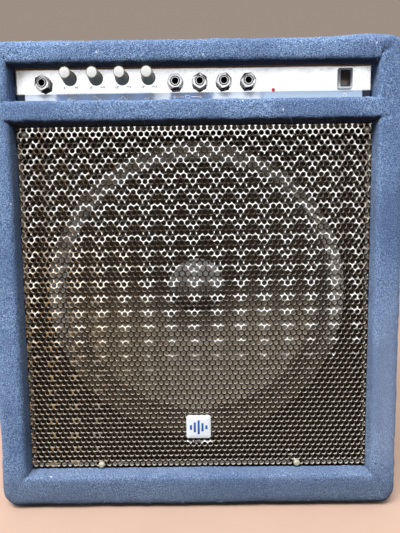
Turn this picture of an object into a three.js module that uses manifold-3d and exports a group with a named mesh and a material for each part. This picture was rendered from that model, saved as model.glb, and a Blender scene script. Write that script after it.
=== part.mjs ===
// A carpet-covered combo amplifier: a closed wooden cabinet with a 15-inch loudspeaker
// behind a steel grille and a shallow amplifier bay above it.
// Millimetres, +Z up, the front faces -Y and left is -X.
// The origin is on the floor, under the middle of the cabinet.
import * as THREE from "three";
import { mergeVertices } from "three/addons/utils/BufferGeometryUtils.js";
import Module from "manifold-3d";

const manifold = await Module();
manifold.setup();

// ---------------------------------------------------------------- driving dimensions
const CAB_W = 432; // over the carpet
const CAB_D = 290; // over the carpet
const FOOT_H = 5; // floor to the underside of the carpet
const CAB_TOP = 498; // top of the carpet
const CARPET = 4; // carpet pile and backing
const CORNER_R = 16; // outer corner radius in the front view
const EDGE_R = 9; // rounding of the front and rear edges
const GAP = 0.3; // assembly gap between neighbouring solids
const PAST = 600; // a distance beyond every part, for cutting right through

const HALF_W = CAB_W / 2;
const HALF_D = CAB_D / 2;
const LINING = CARPET + GAP; // from a carpeted face to the wood behind it

const OPEN_X = 188; // half width of both front openings, carpet to carpet
const GRILLE_Z = [38.5, 415.5]; // grille opening, carpet to carpet
const PANEL_Z = [438.3, 478.2]; // amplifier opening, carpet to carpet

const BOARD_IN = OPEN_X + LINING; // inner face of a side board, from the centre plane
const BOTTOM_TOP = GRILLE_Z[0] - LINING; // upper face of the bottom board
const SHELF_LOW = GRILLE_Z[1] + LINING; // underside of the shelf under the amplifier bay
const SHELF_TOP = PANEL_Z[0] - LINING;
const LID_LOW = PANEL_Z[1] + LINING; // underside of the top board

const PANEL_Y = -124; // front face of the control panel
const SPEAKER_Z = 231.8; // loudspeaker axis

// ---------------------------------------------------------------- materials
const FINISH = {
  wood: { color: 0x9c7b52, roughness: 0.8 },
  baffle: { color: 0x6f5a3d, roughness: 0.85 },
  backPanel: { color: 0x1b1b1d, roughness: 0.7 },
  carpet: { color: 0x56689a, roughness: 0.95 },
  steel: { color: 0xb9bcc0, roughness: 0.35, metalness: 0.9 },
  blackSteel: { color: 0x18181a, roughness: 0.35, metalness: 0.6 },
  nickel: { color: 0xd8d9da, roughness: 0.15, metalness: 1 },
  blackPlastic: { color: 0x17171a, roughness: 0.5 },
  screw: { color: 0xcbb98a, roughness: 0.35, metalness: 0.9 },
  badge: { color: 0xf2f2f0, roughness: 0.3 },
  basket: { color: 0x2b2c2e, roughness: 0.5, metalness: 0.7 },
  gasket: { color: 0xa9a59b, roughness: 0.9 },
  surround: { color: 0x33312e, roughness: 0.85 },
  cone: { color: 0x8e8878, roughness: 0.9 },
  dustCap: { color: 0xb3aea1, roughness: 0.85 },
  copper: { color: 0xb87333, roughness: 0.4, metalness: 0.8 },
  spider: { color: 0xc9a45a, roughness: 0.9 },
  ferrite: { color: 0x2a2a2c, roughness: 0.8 },
  controlPanel: { color: 0xdfe3ea, roughness: 0.18, metalness: 0.6 },
  knob: { color: 0x3a3b3e, roughness: 0.55 },
  switchHousing: { color: 0x8f9093, roughness: 0.45 },
  rocker: { color: 0x2a2623, roughness: 0.4 },
  led: { color: 0xc02018, roughness: 0.2 },
  circuitBoard: { color: 0x1f5a36, roughness: 0.6 },
  capacitor: { color: 0x23304f, roughness: 0.4 },
  transformer: { color: 0xa8862c, roughness: 0.5 },
  heatSink: { color: 0x9fa2a6, roughness: 0.45, metalness: 0.9 },
  rubber: { color: 0x1a1a1a, roughness: 0.9 },
  band: { color: 0x202022, roughness: 0.5, metalness: 0.4 },
  grip: { color: 0x151516, roughness: 0.7 },
};

// ---------------------------------------------------------------- solids and meshes
// A closed three.js geometry as a solid that booleans can use.
function solid(geometry) {
  const bare = new THREE.BufferGeometry();
  const source = geometry.index ? geometry.toNonIndexed() : geometry;
  bare.setAttribute("position", source.getAttribute("position").clone());
  const merged = mergeVertices(bare, 1e-4);
  const index = merged.index.array;
  const triangles = [];
  for (let i = 0; i < index.length; i += 3) {
    const [a, b, c] = index.subarray(i, i + 3);
    if (a !== b && b !== c && a !== c) triangles.push([a, b, c]);
  }
  const build = (faces) =>
    new manifold.Manifold(
      new manifold.Mesh({
        numProp: 3,
        vertProperties: merged.attributes.position.array,
        triVerts: new Uint32Array(faces.flat()),
      }),
    );
  const body = build(triangles);
  // A negative volume means the faces point inwards, so they are turned over.
  return body.volume() >= 0 ? body : build(triangles.map(([a, b, c]) => [a, c, b]));
}

function geometryOf(body) {
  const mesh = body.getMesh();
  const position = new Float32Array(mesh.numVert * 3);
  for (let i = 0; i < mesh.numVert; i++) {
    const start = i * mesh.numProp;
    position.set(mesh.vertProperties.subarray(start, start + 3), i * 3);
  }
  const geometry = new THREE.BufferGeometry();
  geometry.setAttribute("position", new THREE.BufferAttribute(position, 3));
  geometry.setIndex(new THREE.BufferAttribute(new Uint32Array(mesh.triVerts), 1));
  geometry.computeVertexNormals();
  return geometry;
}

const group = new THREE.Group();
function piece(name, finish, body) {
  const mesh = new THREE.Mesh(geometryOf(body), new THREE.MeshStandardMaterial(finish));
  mesh.name = name;
  group.add(mesh);
}

const join = (...bodies) => bodies.reduce((whole, body) => whole.add(body));
const cut = (body, ...tools) => tools.reduce((rest, tool) => rest.subtract(tool), body);

// ---------------------------------------------------------------- spans and shapes
// A span is a [low, high] pair along one axis.
const around = (centre, half) => [centre - half, centre + half];
const offset = (base, low, high) => [base + low, base + high];
const inset = ([low, high], margin) => [low + margin, high - margin];
// A span on the right of the centre plane, mirrored to the left when side is -1.
const onSide = (side, [near, far]) => (side > 0 ? [near, far] : [-far, -near]);

function box([x0, x1], [y0, y1], [z0, z1]) {
  const geometry = new THREE.BoxGeometry(x1 - x0, y1 - y0, z1 - z0);
  geometry.translate((x0 + x1) / 2, (y0 + y1) / 2, (z0 + z1) / 2);
  return solid(geometry);
}

// A cylinder whose axis runs along Y.
function barrel(radius, [y0, y1], x, z, segments) {
  const geometry = new THREE.CylinderGeometry(radius, radius, y1 - y0, segments);
  geometry.translate(x, (y0 + y1) / 2, z);
  return solid(geometry);
}

// A cylinder whose axis runs along X.
function rod(radius, [x0, x1], y, z) {
  const geometry = new THREE.CylinderGeometry(radius, radius, x1 - x0, 12);
  geometry.rotateZ(Math.PI / 2);
  geometry.translate((x0 + x1) / 2, y, z);
  return solid(geometry);
}

// A profile of [radius, distance along the axis], closed unless both ends lie on the axis.
function lathe(profile, segments) {
  const points = profile.map(([radius, along]) => new THREE.Vector2(radius, along));
  if (points[0].x !== 0 || points.at(-1).x !== 0) points.push(points[0].clone());
  return new THREE.LatheGeometry(points, segments);
}

// A body of revolution about a line along Y.
const turned = (profile, x, z, segments) =>
  solid(lathe(profile, segments).translate(x, 0, z));

// A body of revolution about a line along Z.
const turnedUp = (profile, x, y, segments) =>
  solid(lathe(profile, segments).rotateX(Math.PI / 2).translate(x, y, 0));

function roundedRect([x0, x1], [z0, z1], radius) {
  const quarter = Math.PI / 2;
  const shape = new THREE.Shape();
  shape.moveTo(x0 + radius, z0);
  shape.lineTo(x1 - radius, z0);
  shape.absarc(x1 - radius, z0 + radius, radius, -quarter, 0, false);
  shape.lineTo(x1, z1 - radius);
  shape.absarc(x1 - radius, z1 - radius, radius, 0, quarter, false);
  shape.lineTo(x0 + radius, z1);
  shape.absarc(x0 + radius, z1 - radius, radius, quarter, 2 * quarter, false);
  shape.lineTo(x0, z0 + radius);
  shape.absarc(x0 + radius, z0 + radius, radius, 2 * quarter, 3 * quarter, false);
  return shape;
}

// A rounded rectangle in the XZ plane, extruded along Y, with its front and rear edges
// rounded to the radius edge.
function slab(xSpan, [y0, y1], zSpan, { radius, edge = 0, curve = 3, steps = 1 }) {
  const shape = roundedRect(inset(xSpan, edge), inset(zSpan, edge), radius - edge);
  const geometry = new THREE.ExtrudeGeometry(shape, {
    depth: y1 - y0 - 2 * edge,
    bevelEnabled: edge > 0,
    bevelSize: edge,
    bevelThickness: edge,
    bevelSegments: steps,
    curveSegments: curve,
    steps: 1,
  });
  // The shape's plane becomes XZ and the extrusion runs towards -Y.
  geometry.rotateX(Math.PI / 2);
  geometry.translate(0, y1 - edge, 0);
  return solid(geometry);
}

// The cabinet's outer form, shrunk on all sides: the corner and edge radii
// shrink by the carpet thickness once it is inside the carpet.
function cabinetForm(shrink, radiusLoss, steps) {
  return slab(
    around(0, HALF_W - shrink),
    around(0, HALF_D - shrink),
    [FOOT_H + shrink, CAB_TOP - shrink],
    { radius: CORNER_R - radiusLoss, edge: EDGE_R - radiusLoss, curve: 4, steps },
  );
}

// ---------------------------------------------------------------- cabinet boards
const boardSpace = cabinetForm(LINING, CARPET, 1);
const ALL_Y = around(0, PAST);
const INNER_X = around(0, BOARD_IN - GAP); // boards between the side boards
const BAY_Z = [BOTTOM_TOP + GAP, SHELF_LOW - GAP]; // boards between bottom and shelf
const BACK_PANEL_Y = [128.5, 140.5];
const CLEAT_Y0 = 112;
const CLEAT_W = 15;
const CLEAT_OVERLAP = 2; // into the side board

// A side board with a glued cleat that the rear panel screws into.
function sideBoard(side) {
  const board = box(onSide(side, [BOARD_IN, PAST]), ALL_Y, [0, PAST]);
  const cleat = box(
    onSide(side, offset(BOARD_IN, -CLEAT_W, CLEAT_OVERLAP)),
    [CLEAT_Y0, BACK_PANEL_Y[0] - GAP],
    BAY_Z,
  );
  return join(board.intersect(boardSpace), cleat);
}
piece("side_panel_left", FINISH.wood, sideBoard(-1));
piece("side_panel_right", FINISH.wood, sideBoard(1));

const levelBoard = (zSpan) => box(INNER_X, ALL_Y, zSpan).intersect(boardSpace);
piece("top_panel", FINISH.wood, levelBoard([LID_LOW, PAST]));
piece("bottom_panel", FINISH.wood, levelBoard([0, BOTTOM_TOP]));
piece(
  "shelf_panel",
  FINISH.wood,
  box(INNER_X, around(0, HALF_D - LINING), [SHELF_LOW, SHELF_TOP]),
);

// ---------------------------------------------------------------- baffle and back panel
const BAFFLE_Y = [-110, -94];
const CUTOUT_R = 172.5; // loudspeaker hole
const BLOCK = { halfW: 6.5, reach: 6, overlap: 2 }; // reach is past the screw, in Z

const GRILLE_Y = -128; // front face of the grille sheet
const GRILLE_T = 1.2;
const GRILLE_FOLD = 9.6; // depth of the folded edge
const GRILLE_CLEAR = 0.8; // from the carpet to the grille
const GRILLE_X_SPAN = around(0, OPEN_X - GRILLE_CLEAR);
const GRILLE_Z_SPAN = inset(GRILLE_Z, GRILLE_CLEAR);

// Grille screws as [x, z].
const SCREWS = [[-178.7, 407.5], [182.2, 408.3], [-108.7, 43.2], [110.8, 43.4]];
const SCREW_HOLE_R = 2.1;
// The holes pass through the grille and stop short of the baffle's rear face.
const screwHoles = SCREWS.map(([x, z]) =>
  barrel(SCREW_HOLE_R, [-140, BAFFLE_Y[1] - 2], x, z, 8),
);

// A block that a grille screw enters, held clear of the grille's folded edge.
function screwBlock([x, z]) {
  const [xLow, xHigh] = inset(GRILLE_X_SPAN, GRILLE_T + GAP);
  const [zLow, zHigh] = inset(GRILLE_Z_SPAN, GRILLE_T + GAP);
  return box(
    [Math.max(x - BLOCK.halfW, xLow), Math.min(x + BLOCK.halfW, xHigh)],
    [GRILLE_Y + GRILLE_T + GAP, BAFFLE_Y[0] + BLOCK.overlap],
    z < SPEAKER_Z ? [zLow, z + BLOCK.reach] : [z - BLOCK.reach, zHigh],
  );
}

// The baffle carries the loudspeaker and the four glued screw blocks.
piece(
  "baffle_board",
  FINISH.baffle,
  cut(
    join(box(INNER_X, BAFFLE_Y, BAY_Z), ...SCREWS.map(screwBlock)),
    barrel(CUTOUT_R, [-120, -80], 0, SPEAKER_Z, 36),
    ...screwHoles,
  ),
);
piece("back_panel", FINISH.backPanel, box(INNER_X, BACK_PANEL_Y, BAY_Z));

// ---------------------------------------------------------------- carpet
// One wrapped skin: outside faces, the front rails and stiles, and the turned-in edges
// of both front openings; the rear is cut open.
const GRILLE_TURN_Y = -118; // how far back the carpet turns into each front opening
const PANEL_TURN_Y = -106;
const REAR_OPENING_Y = 138;

const turnIn = (zSpan, y1) =>
  box(around(0, OPEN_X + CARPET), [-HALF_D + 1, y1], inset(zSpan, -CARPET));
const frontOpening = (zSpan) => box(around(0, OPEN_X), [-PAST, -90], zSpan);
piece(
  "carpet_cover",
  FINISH.carpet,
  cut(
    join(
      cut(cabinetForm(0, 0, 2), cabinetForm(CARPET, CARPET, 1)),
      turnIn(GRILLE_Z, GRILLE_TURN_Y),
      turnIn(PANEL_Z, PANEL_TURN_Y),
    ),
    frontOpening(GRILLE_Z),
    frontOpening(PANEL_Z),
    box(
      around(0, OPEN_X + CARPET),
      [REAR_OPENING_Y, PAST],
      [BOTTOM_TOP + GAP, LID_LOW - GAP],
    ),
  ),
);

// ---------------------------------------------------------------- grille, screws and badge
const BADGE = { x: 1, z: 86.5, w: 27.2, h: 26, front: 2.1, radius: 2.4 };
// Screw head and shank, as [radius, y].
const SCREW_PROFILE = [
  [0, -131], [2, -130.8], [3.2, -130.1], [3.6, -129.1], [3.6, GRILLE_Y - GAP],
  [1.6, GRILLE_Y - GAP], [1.6, -103], [0, -99],
];

piece(
  "grille_sheet",
  FINISH.blackSteel,
  cut(
    box(GRILLE_X_SPAN, offset(GRILLE_Y, 0, GRILLE_FOLD), GRILLE_Z_SPAN),
    box(
      inset(GRILLE_X_SPAN, GRILLE_T),
      [GRILLE_Y + GRILLE_T, PAST],
      inset(GRILLE_Z_SPAN, GRILLE_T),
    ),
    ...screwHoles,
  ),
);
SCREWS.forEach(([x, z], i) =>
  piece(`grille_screw_${i + 1}`, FINISH.screw, turned(SCREW_PROFILE, x, z, 8)),
);
piece(
  "badge_plate",
  FINISH.badge,
  slab(
    around(BADGE.x, BADGE.w / 2),
    offset(GRILLE_Y, -BADGE.front, -GAP),
    around(BADGE.z, BADGE.h / 2),
    { radius: BADGE.radius },
  ),
);

// ---------------------------------------------------------------- loudspeaker
const FRAME_SEGMENTS = 36;
const MOTOR_SEGMENTS = 24;
const FRAME_R = 187.5; // 15-inch frame, clamped behind the baffle
const FLANGE_Y = BAFFLE_Y[1] + 4.9; // front of the flange, behind gasket and surround
const FLANGE_BACK = FLANGE_Y + 2.2;
const COIL_R = 31.2; // inside of the voice coil former
const COIL_T = 1.1;
const PLATE_R = 72; // outside of the top plate and back plate
const PLATE_T = 8;
const MAGNET_T = 20;
const TOP_PLATE_Y = offset(1.3, 0, PLATE_T);
const MAGNET_Y = offset(TOP_PLATE_Y[1] + GAP, 0, MAGNET_T);
const BACK_PLATE_Y = offset(MAGNET_Y[1] + GAP, 0, PLATE_T);
const POLE_R = COIL_R - 0.6;
const VENT_R = 8; // bore of the pole piece
const WINDOW = { inner: 106, outer: 164, margin: 0.16, count: 6 }; // margin in radians

// Profiles and sheet lines are [radius, y].
const BASKET_PROFILE = [
  [FRAME_R, FLANGE_Y], [FRAME_R, FLANGE_BACK], [177, FLANGE_BACK], [169.5, -63.5],
  [101, -7.5], [78, -7.5], [78, 0.9], [34.5, 0.9],
  [34.5, -1.1], [76, -1.1], [76, -9.7], [99.5, -9.7],
  [167.5, -65.1], [174.3, FLANGE_BACK], [160, FLANGE_BACK], [160, FLANGE_Y],
];
const SURROUND_LINE = [
  [186.8, -89.75], [158.2, -89.75], [154.5, -86.2],
  [150.2, -89.6], [146.2, -84], [143, -83.7],
];
const CONE_LINE = [[142.5, -83.7], [116, -68.5], [86, -51], [56, -35.5], [32.9, -25.1]];
const DUST_CAP_PROFILE = [
  [0, -40.7], [16, -39.3], [28, -34.9], [36, -28.4], [36, -27.4],
  [34.6, -27.7], [27.2, -33.9], [15.7, -38.2], [0, -39.5],
];
const SPIDER_LINE = [
  [94, -11.1], [76.5, -11.1], [66, -15.1], [56, -12.1], [45, -16.5], [33, -17.1],
];
const YOKE_PROFILE = [
  [VENT_R, TOP_PLATE_Y[0]], [POLE_R, TOP_PLATE_Y[0]], [POLE_R, BACK_PLATE_Y[0]],
  [PLATE_R, BACK_PLATE_Y[0]], [PLATE_R, BACK_PLATE_Y[1]], [VENT_R, BACK_PLATE_Y[1]],
];

const onAxis = (profile, segments) => turned(profile, 0, SPEAKER_Z, segments);

// A ring of rectangular section.
const ring = (inner, outer, [y0, y1], segments) =>
  onAxis([[inner, y0], [outer, y0], [outer, y1], [inner, y1]], segments);

// A thin sheet of even thickness along Y that follows a line.
function sheet(line, thickness, segments) {
  const front = line.map(([radius, y]) => [radius, y - thickness / 2]);
  const back = line.map(([radius, y]) => [radius, y + thickness / 2]).reverse();
  return onAxis([...front, ...back], segments);
}

// The cutter for one window between two of the basket's legs.
function windowCutter(index) {
  const pitch = (2 * Math.PI) / WINDOW.count;
  const start = index * pitch + WINDOW.margin;
  const sweep = pitch - 2 * WINDOW.margin;
  const at = (radius, part) => {
    const angle = start + sweep * part;
    return [radius * Math.cos(angle), radius * Math.sin(angle)];
  };
  const shape = new THREE.Shape();
  shape.moveTo(...at(WINDOW.inner, 0));
  for (let i = 0; i <= 4; i++) shape.lineTo(...at(WINDOW.outer, i / 4));
  for (let i = 3; i >= 0; i--) shape.lineTo(...at(WINDOW.inner, (i + 0.5) / 4));
  const geometry = new THREE.ExtrudeGeometry(shape, { depth: 80, bevelEnabled: false });
  geometry.rotateX(Math.PI / 2);
  geometry.translate(0, 3.5, SPEAKER_Z);
  return solid(geometry);
}

const windows = Array.from({ length: WINDOW.count }, (_, i) => windowCutter(i));
piece("speaker_basket", FINISH.basket, cut(onAxis(BASKET_PROFILE, FRAME_SEGMENTS), ...windows));
piece(
  "gasket_ring",
  FINISH.gasket,
  ring(158.5, 187, offset(BAFFLE_Y[1], 0.5, 3.6), FRAME_SEGMENTS),
);
piece("surround", FINISH.surround, sheet(SURROUND_LINE, 0.7, FRAME_SEGMENTS));
piece("speaker_cone", FINISH.cone, sheet(CONE_LINE, 1.2, FRAME_SEGMENTS));
piece("dust_cap", FINISH.dustCap, onAxis(DUST_CAP_PROFILE, MOTOR_SEGMENTS));
piece(
  "voice_coil",
  FINISH.copper,
  ring(COIL_R, COIL_R + COIL_T, [-26.9, 15.5], MOTOR_SEGMENTS),
);
piece("spider", FINISH.spider, sheet(SPIDER_LINE, 0.7, MOTOR_SEGMENTS));
piece("top_plate", FINISH.steel, ring(COIL_R + 1.8, PLATE_R, TOP_PLATE_Y, MOTOR_SEGMENTS));
piece("ferrite_magnet", FINISH.ferrite, ring(40, 78, MAGNET_Y, MOTOR_SEGMENTS));
// Back plate and vented pole piece.
piece("pole_yoke", FINISH.steel, onAxis(YOKE_PROFILE, MOTOR_SEGMENTS));

// ---------------------------------------------------------------- amplifier chassis
const PANEL_T = 1.3;
const SHEET = 1.2; // chassis sheet thickness
const TRAY_HALF_W = 186.5;
const TRAY_Y = PANEL_Y + PANEL_T + GAP; // front face of the chassis tray
const [TRAY_Z0, TRAY_Z1] = inset(PANEL_Z, 1);
const TRAY_LIP = 12; // height of the side walls
const REAR_Y = 133; // front face of the chassis rear plate
const REAR_HALF_W = 191.5;
const REAR_CUT_Y = [120, 145];
const VENT = { x: -148, pitch: 22, w: 12, count: 5 };

const KNOB_Z = 464.7;
const KNOB_X = { volume: -129, bass: -101.6, mid: -74.2, treble: -46.8 };
const JACK_Z = 459.8;
const JACK_X = {
  input: -157.3,
  effects_send: -18.7,
  effects_return: 6.8,
  line_out: 32,
  headphone: 57.5,
};
const BUSH_R = 4.7; // outside of a jack's threaded bush
const BUSH_HOLE_R = BUSH_R + 0.3;
const POT_HOLE_R = 4.1;
const LED = { x: 84.1, z: 451.5, r: 1.5 };
const SWITCH = { x: 159.2, z: 461.6, w: 15, h: 21, bodyHalfW: 6.25, bodyHalfH: 9.25 };
const SWITCH_CLEAR = 0.35;
const INLET = { x: 130, z: 458 };

const fromPanel = (y0, y1) => offset(PANEL_Y, y0, y1);
const fromTray = (z0, z1) => offset(TRAY_Z0, z0, z1);

const HOLE_Y = fromPanel(-6, 7);
const panelHoles = [
  ...Object.values(JACK_X).map((x) => barrel(BUSH_HOLE_R, HOLE_Y, x, JACK_Z, 12)),
  ...Object.values(KNOB_X).map((x) => barrel(POT_HOLE_R, HOLE_Y, x, KNOB_Z, 8)),
  box(
    around(SWITCH.x, SWITCH.bodyHalfW + SWITCH_CLEAR),
    HOLE_Y,
    around(SWITCH.z, SWITCH.bodyHalfH + SWITCH_CLEAR),
  ),
  barrel(LED.r + 0.4, HOLE_Y, LED.x, LED.z, 10),
];
const inletHole = box(around(INLET.x, 14.3), REAR_CUT_Y, around(INLET.z, 10.8));
const ventSlots = Array.from({ length: VENT.count }, (_, i) =>
  box(offset(VENT.x + i * VENT.pitch, 0, VENT.w), REAR_CUT_Y, fromTray(5, 30)),
);
const trayWall = (side) =>
  box(
    onSide(side, [TRAY_HALF_W - SHEET, TRAY_HALF_W]),
    [TRAY_Y, REAR_Y],
    fromTray(0, TRAY_LIP),
  );
const TRAY_X = around(0, TRAY_HALF_W);
piece(
  "chassis_tray",
  FINISH.blackSteel,
  cut(
    join(
      box(TRAY_X, [TRAY_Y, REAR_Y + SHEET], fromTray(0, SHEET)),
      box(TRAY_X, offset(TRAY_Y, 0, SHEET), [TRAY_Z0, TRAY_Z1]),
      trayWall(-1),
      trayWall(1),
      box(
        around(0, REAR_HALF_W),
        offset(REAR_Y, 0, SHEET),
        inset([SHELF_TOP, LID_LOW], 0.6),
      ),
    ),
    ...panelHoles,
    inletHole,
    ...ventSlots,
  ),
);
piece(
  "control_panel",
  FINISH.controlPanel,
  cut(box(around(0, OPEN_X - 0.6), fromPanel(0, PANEL_T), inset(PANEL_Z, 0.4)), ...panelHoles),
);

// ---------------------------------------------------------------- potentiometers and knobs
// Each knob has its own spindle, which turns in the pot's bush. Profiles are [radius, y].
const KNOB_TIP = -145; // front face of a knob
const KNOB_BACK = PANEL_Y - 1.3;
const POT_PROFILE = [
  [0, PANEL_Y + 15], [8.2, PANEL_Y + 15], [8.2, PANEL_Y + 4.2], [3.6, PANEL_Y + 4.2],
  [3.6, PANEL_Y - 2.5], [3.05, PANEL_Y - 2.5], [3.05, PANEL_Y + 12.5], [0, PANEL_Y + 12.5],
];
const KNOB_PROFILE = [
  [0, KNOB_TIP], [5.5, KNOB_TIP], [5.8, KNOB_TIP + 0.5],
  [7.1, KNOB_BACK - 2], [7.4, KNOB_BACK], [5, KNOB_BACK],
  [5, KNOB_BACK - 4], [2.6, KNOB_BACK - 4], [2.6, PANEL_Y + 11.9], [0, PANEL_Y + 11.9],
];
for (const [name, x] of Object.entries(KNOB_X)) {
  piece(`${name}_pot`, FINISH.steel, turned(POT_PROFILE, x, KNOB_Z, 12));
  piece(`${name}_knob`, FINISH.knob, turned(KNOB_PROFILE, x, KNOB_Z, 12));
}

// ---------------------------------------------------------------- jack sockets and nuts
const JACK_HALF = 8; // half width and half height of the body
const PLUG_R = 3.2; // bore for a quarter-inch plug
const WASHER_R = 8.5;
const NUT_AF = 14.3; // across flats

function jack(x) {
  const body = box(around(x, JACK_HALF), fromPanel(3.2, 26.5), around(JACK_Z, JACK_HALF));
  const bush = barrel(BUSH_R, fromPanel(-7, 3.5), x, JACK_Z, 12);
  return cut(join(body, bush), barrel(PLUG_R, fromPanel(-9, 24.5), x, JACK_Z, 12));
}

function jackNut(x) {
  const washer = barrel(WASHER_R, fromPanel(-1.4, -GAP), x, JACK_Z, 16);
  const hexagon = barrel(NUT_AF / Math.sqrt(3), fromPanel(-6.6, -1.3), x, JACK_Z, 6);
  return cut(join(washer, hexagon), barrel(BUSH_HOLE_R, fromPanel(-9, 1), x, JACK_Z, 12));
}
for (const [name, x] of Object.entries(JACK_X)) {
  piece(`${name}_jack`, FINISH.blackPlastic, jack(x));
  piece(`${name}_nut`, FINISH.nickel, jackNut(x));
}

// ---------------------------------------------------------------- power rocker and lamp
const PIN_Y = PANEL_Y + 2.5;
const PADDLE_W = 9.9;
const ROCKER_REST = 10; // degrees about +X: the lower edge is pressed in
// Paddle outline as [z, y] about the pin, untilted.
const PADDLE_OUTLINE = [
  [-7.2, -5.6], [-3.6, -4.7], [0, -4.4], [3.6, -4.7], [7.2, -5.6],
  [7.2, -2.2], [4, 3], [-4, 3], [-7.2, -2.2],
];
const LED_PROFILE = [
  [0, PANEL_Y - 1.9], [0.9, PANEL_Y - 1.6], [LED.r, PANEL_Y - 0.7],
  [LED.r, PANEL_Y + 5.5], [0, PANEL_Y + 5.5],
];

// A bezel and a housing, hollowed for the paddle and bored for its cross pin.
piece(
  "switch_housing",
  FINISH.switchHousing,
  cut(
    join(
      slab(
        around(SWITCH.x, SWITCH.w / 2),
        fromPanel(-2.1, -GAP),
        around(SWITCH.z, SWITCH.h / 2),
        { radius: 1.2 },
      ),
      box(
        around(SWITCH.x, SWITCH.bodyHalfW),
        fromPanel(-0.5, 20.5),
        around(SWITCH.z, SWITCH.bodyHalfH),
      ),
    ),
    box(around(SWITCH.x, 5.35), fromPanel(-16, 12.5), around(SWITCH.z, 8.5)),
    rod(1.5, around(SWITCH.x, 10), PIN_Y, SWITCH.z),
  ),
);

function rocker() {
  const shape = new THREE.Shape(PADDLE_OUTLINE.map((point) => new THREE.Vector2(...point)));
  const geometry = new THREE.ExtrudeGeometry(shape, { depth: PADDLE_W, bevelEnabled: false });
  // (shape x, shape y, depth) becomes (z, y, x), centred in x.
  const turn = new THREE.Matrix4().set(
    0, 0, 1, -PADDLE_W / 2,
    0, 1, 0, 0,
    1, 0, 0, 0,
    0, 0, 0, 1,
  );
  geometry.applyMatrix4(turn);
  return join(solid(geometry), rod(1.1, around(0, 6), 0, 0))
    .rotate([ROCKER_REST, 0, 0])
    .translate([SWITCH.x, PIN_Y, SWITCH.z]);
}
piece("power_rocker", FINISH.rocker, rocker());
piece("power_led", FINISH.led, turned(LED_PROFILE, LED.x, LED.z, 10));

// ---------------------------------------------------------------- chassis contents
const BOARD_Z = TRAY_Z0 + 9; // underside of the circuit board
const PILLAR_R = 3;
const PILLAR_Z = [TRAY_Z0 + SHEET + GAP, BOARD_Z + 0.5];
const PILLARS = [[-160, -84], [52, -84], [-160, 54], [52, 54]]; // x, y
// Blocks on the board: x span, y span, top above the board's underside.
const BLOCKS = [
  [[-150, -128], [20, 28], 9],
  [[-118, -96], [20, 28], 9],
  [[-80, -66], [-30, -20], 6],
  [[-40, -26], [-30, -20], 6],
  [[-150, -60], [-86, -79], 7],
];
// Upright profiles are [radius, z].
const PILLAR_PROFILE = [
  [0, PILLAR_Z[0]], [PILLAR_R, PILLAR_Z[0]], [PILLAR_R, PILLAR_Z[1]], [0, PILLAR_Z[1]],
];
const CAPACITOR_PROFILE = [
  [0, BOARD_Z + 2], [11, BOARD_Z + 2], [11, BOARD_Z + 21],
  [10, BOARD_Z + 22], [0, BOARD_Z + 22],
];
const TRANSFORMER_PROFILE = [
  [11, TRAY_Z0 + 5], [14, TRAY_Z0 + 1.6], [38, TRAY_Z0 + 1.6], [43, TRAY_Z0 + 7],
  [43, TRAY_Z0 + 27], [38, TRAY_Z0 + 32], [14, TRAY_Z0 + 32], [11, TRAY_Z0 + 28.6],
];
const SINK_Z = fromTray(1.6, 32);
const FIN = { x: -152, pitch: 15.2, thickness: 2.6, count: 8 };

piece(
  "circuit_board",
  FINISH.circuitBoard,
  join(
    box([-170, 62], [-90, 62], offset(BOARD_Z, 0, 1.6)),
    ...PILLARS.map(([x, y]) => turnedUp(PILLAR_PROFILE, x, y, 8)),
    ...BLOCKS.map(([xSpan, ySpan, top]) => box(xSpan, ySpan, offset(BOARD_Z, 1.5, top))),
  ),
);
piece("filter_capacitor", FINISH.capacitor, turnedUp(CAPACITOR_PROFILE, 20, 22, 16));
piece("power_transformer", FINISH.transformer, turnedUp(TRANSFORMER_PROFILE, 122, 50, 24));

const fins = Array.from({ length: FIN.count }, (_, i) =>
  box(offset(FIN.x + i * FIN.pitch, 0, FIN.thickness), [98, 128], SINK_Z),
);
piece("heat_sink", FINISH.heatSink, join(box([FIN.x, -40], [127, 132.6], SINK_Z), ...fins));

// Mains inlet with its three blades in a recess that opens to the rear.
const inletBox = (halfW, ySpan, halfH) =>
  box(around(INLET.x, halfW), ySpan, around(INLET.z, halfH));
// A blade by its middle x, rear end y and z span, the x and z measured from the inlet.
const blade = (x, y1, [z0, z1]) =>
  box(around(INLET.x + x, 1), [119, y1], offset(INLET.z, z0, z1));
piece(
  "mains_inlet",
  FINISH.blackPlastic,
  join(
    cut(
      join(
        slab(
          around(INLET.x, 24.5),
          [REAR_Y + SHEET + GAP, 138.5],
          around(INLET.z, 11.5),
          { radius: 3 },
        ),
        inletBox(13.8, [112, 137], 10.4),
      ),
      inletBox(12, [120, 150], 8),
    ),
    blade(-7, 134, [-3.5, 0.5]),
    blade(7, 134, [-3.5, 0.5]),
    blade(0, 135, [0.5, 4.5]),
  ),
);

// ---------------------------------------------------------------- feet
const FOOT_X = 172;
const FOOT_Y = 108;
// [radius, z]
const FOOT_PROFILE = [[0, 0], [13, 0], [15, 1.5], [15, FOOT_H - GAP], [0, FOOT_H - GAP]];
[[-1, -1], [1, -1], [-1, 1], [1, 1]].forEach(([sideX, sideY], i) =>
  piece(
    `rubber_foot_${i + 1}`,
    FINISH.rubber,
    turnedUp(FOOT_PROFILE, sideX * FOOT_X, sideY * FOOT_Y, 16),
  ),
);

// ---------------------------------------------------------------- carrying handle
// A spring-steel band runs through a moulded grip and slides in two end caps.
const BAND_Z = CAB_TOP + 6; // underside of the band
const MOULDING = { radius: 4, edge: 3, curve: 2, steps: 1 };

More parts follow.
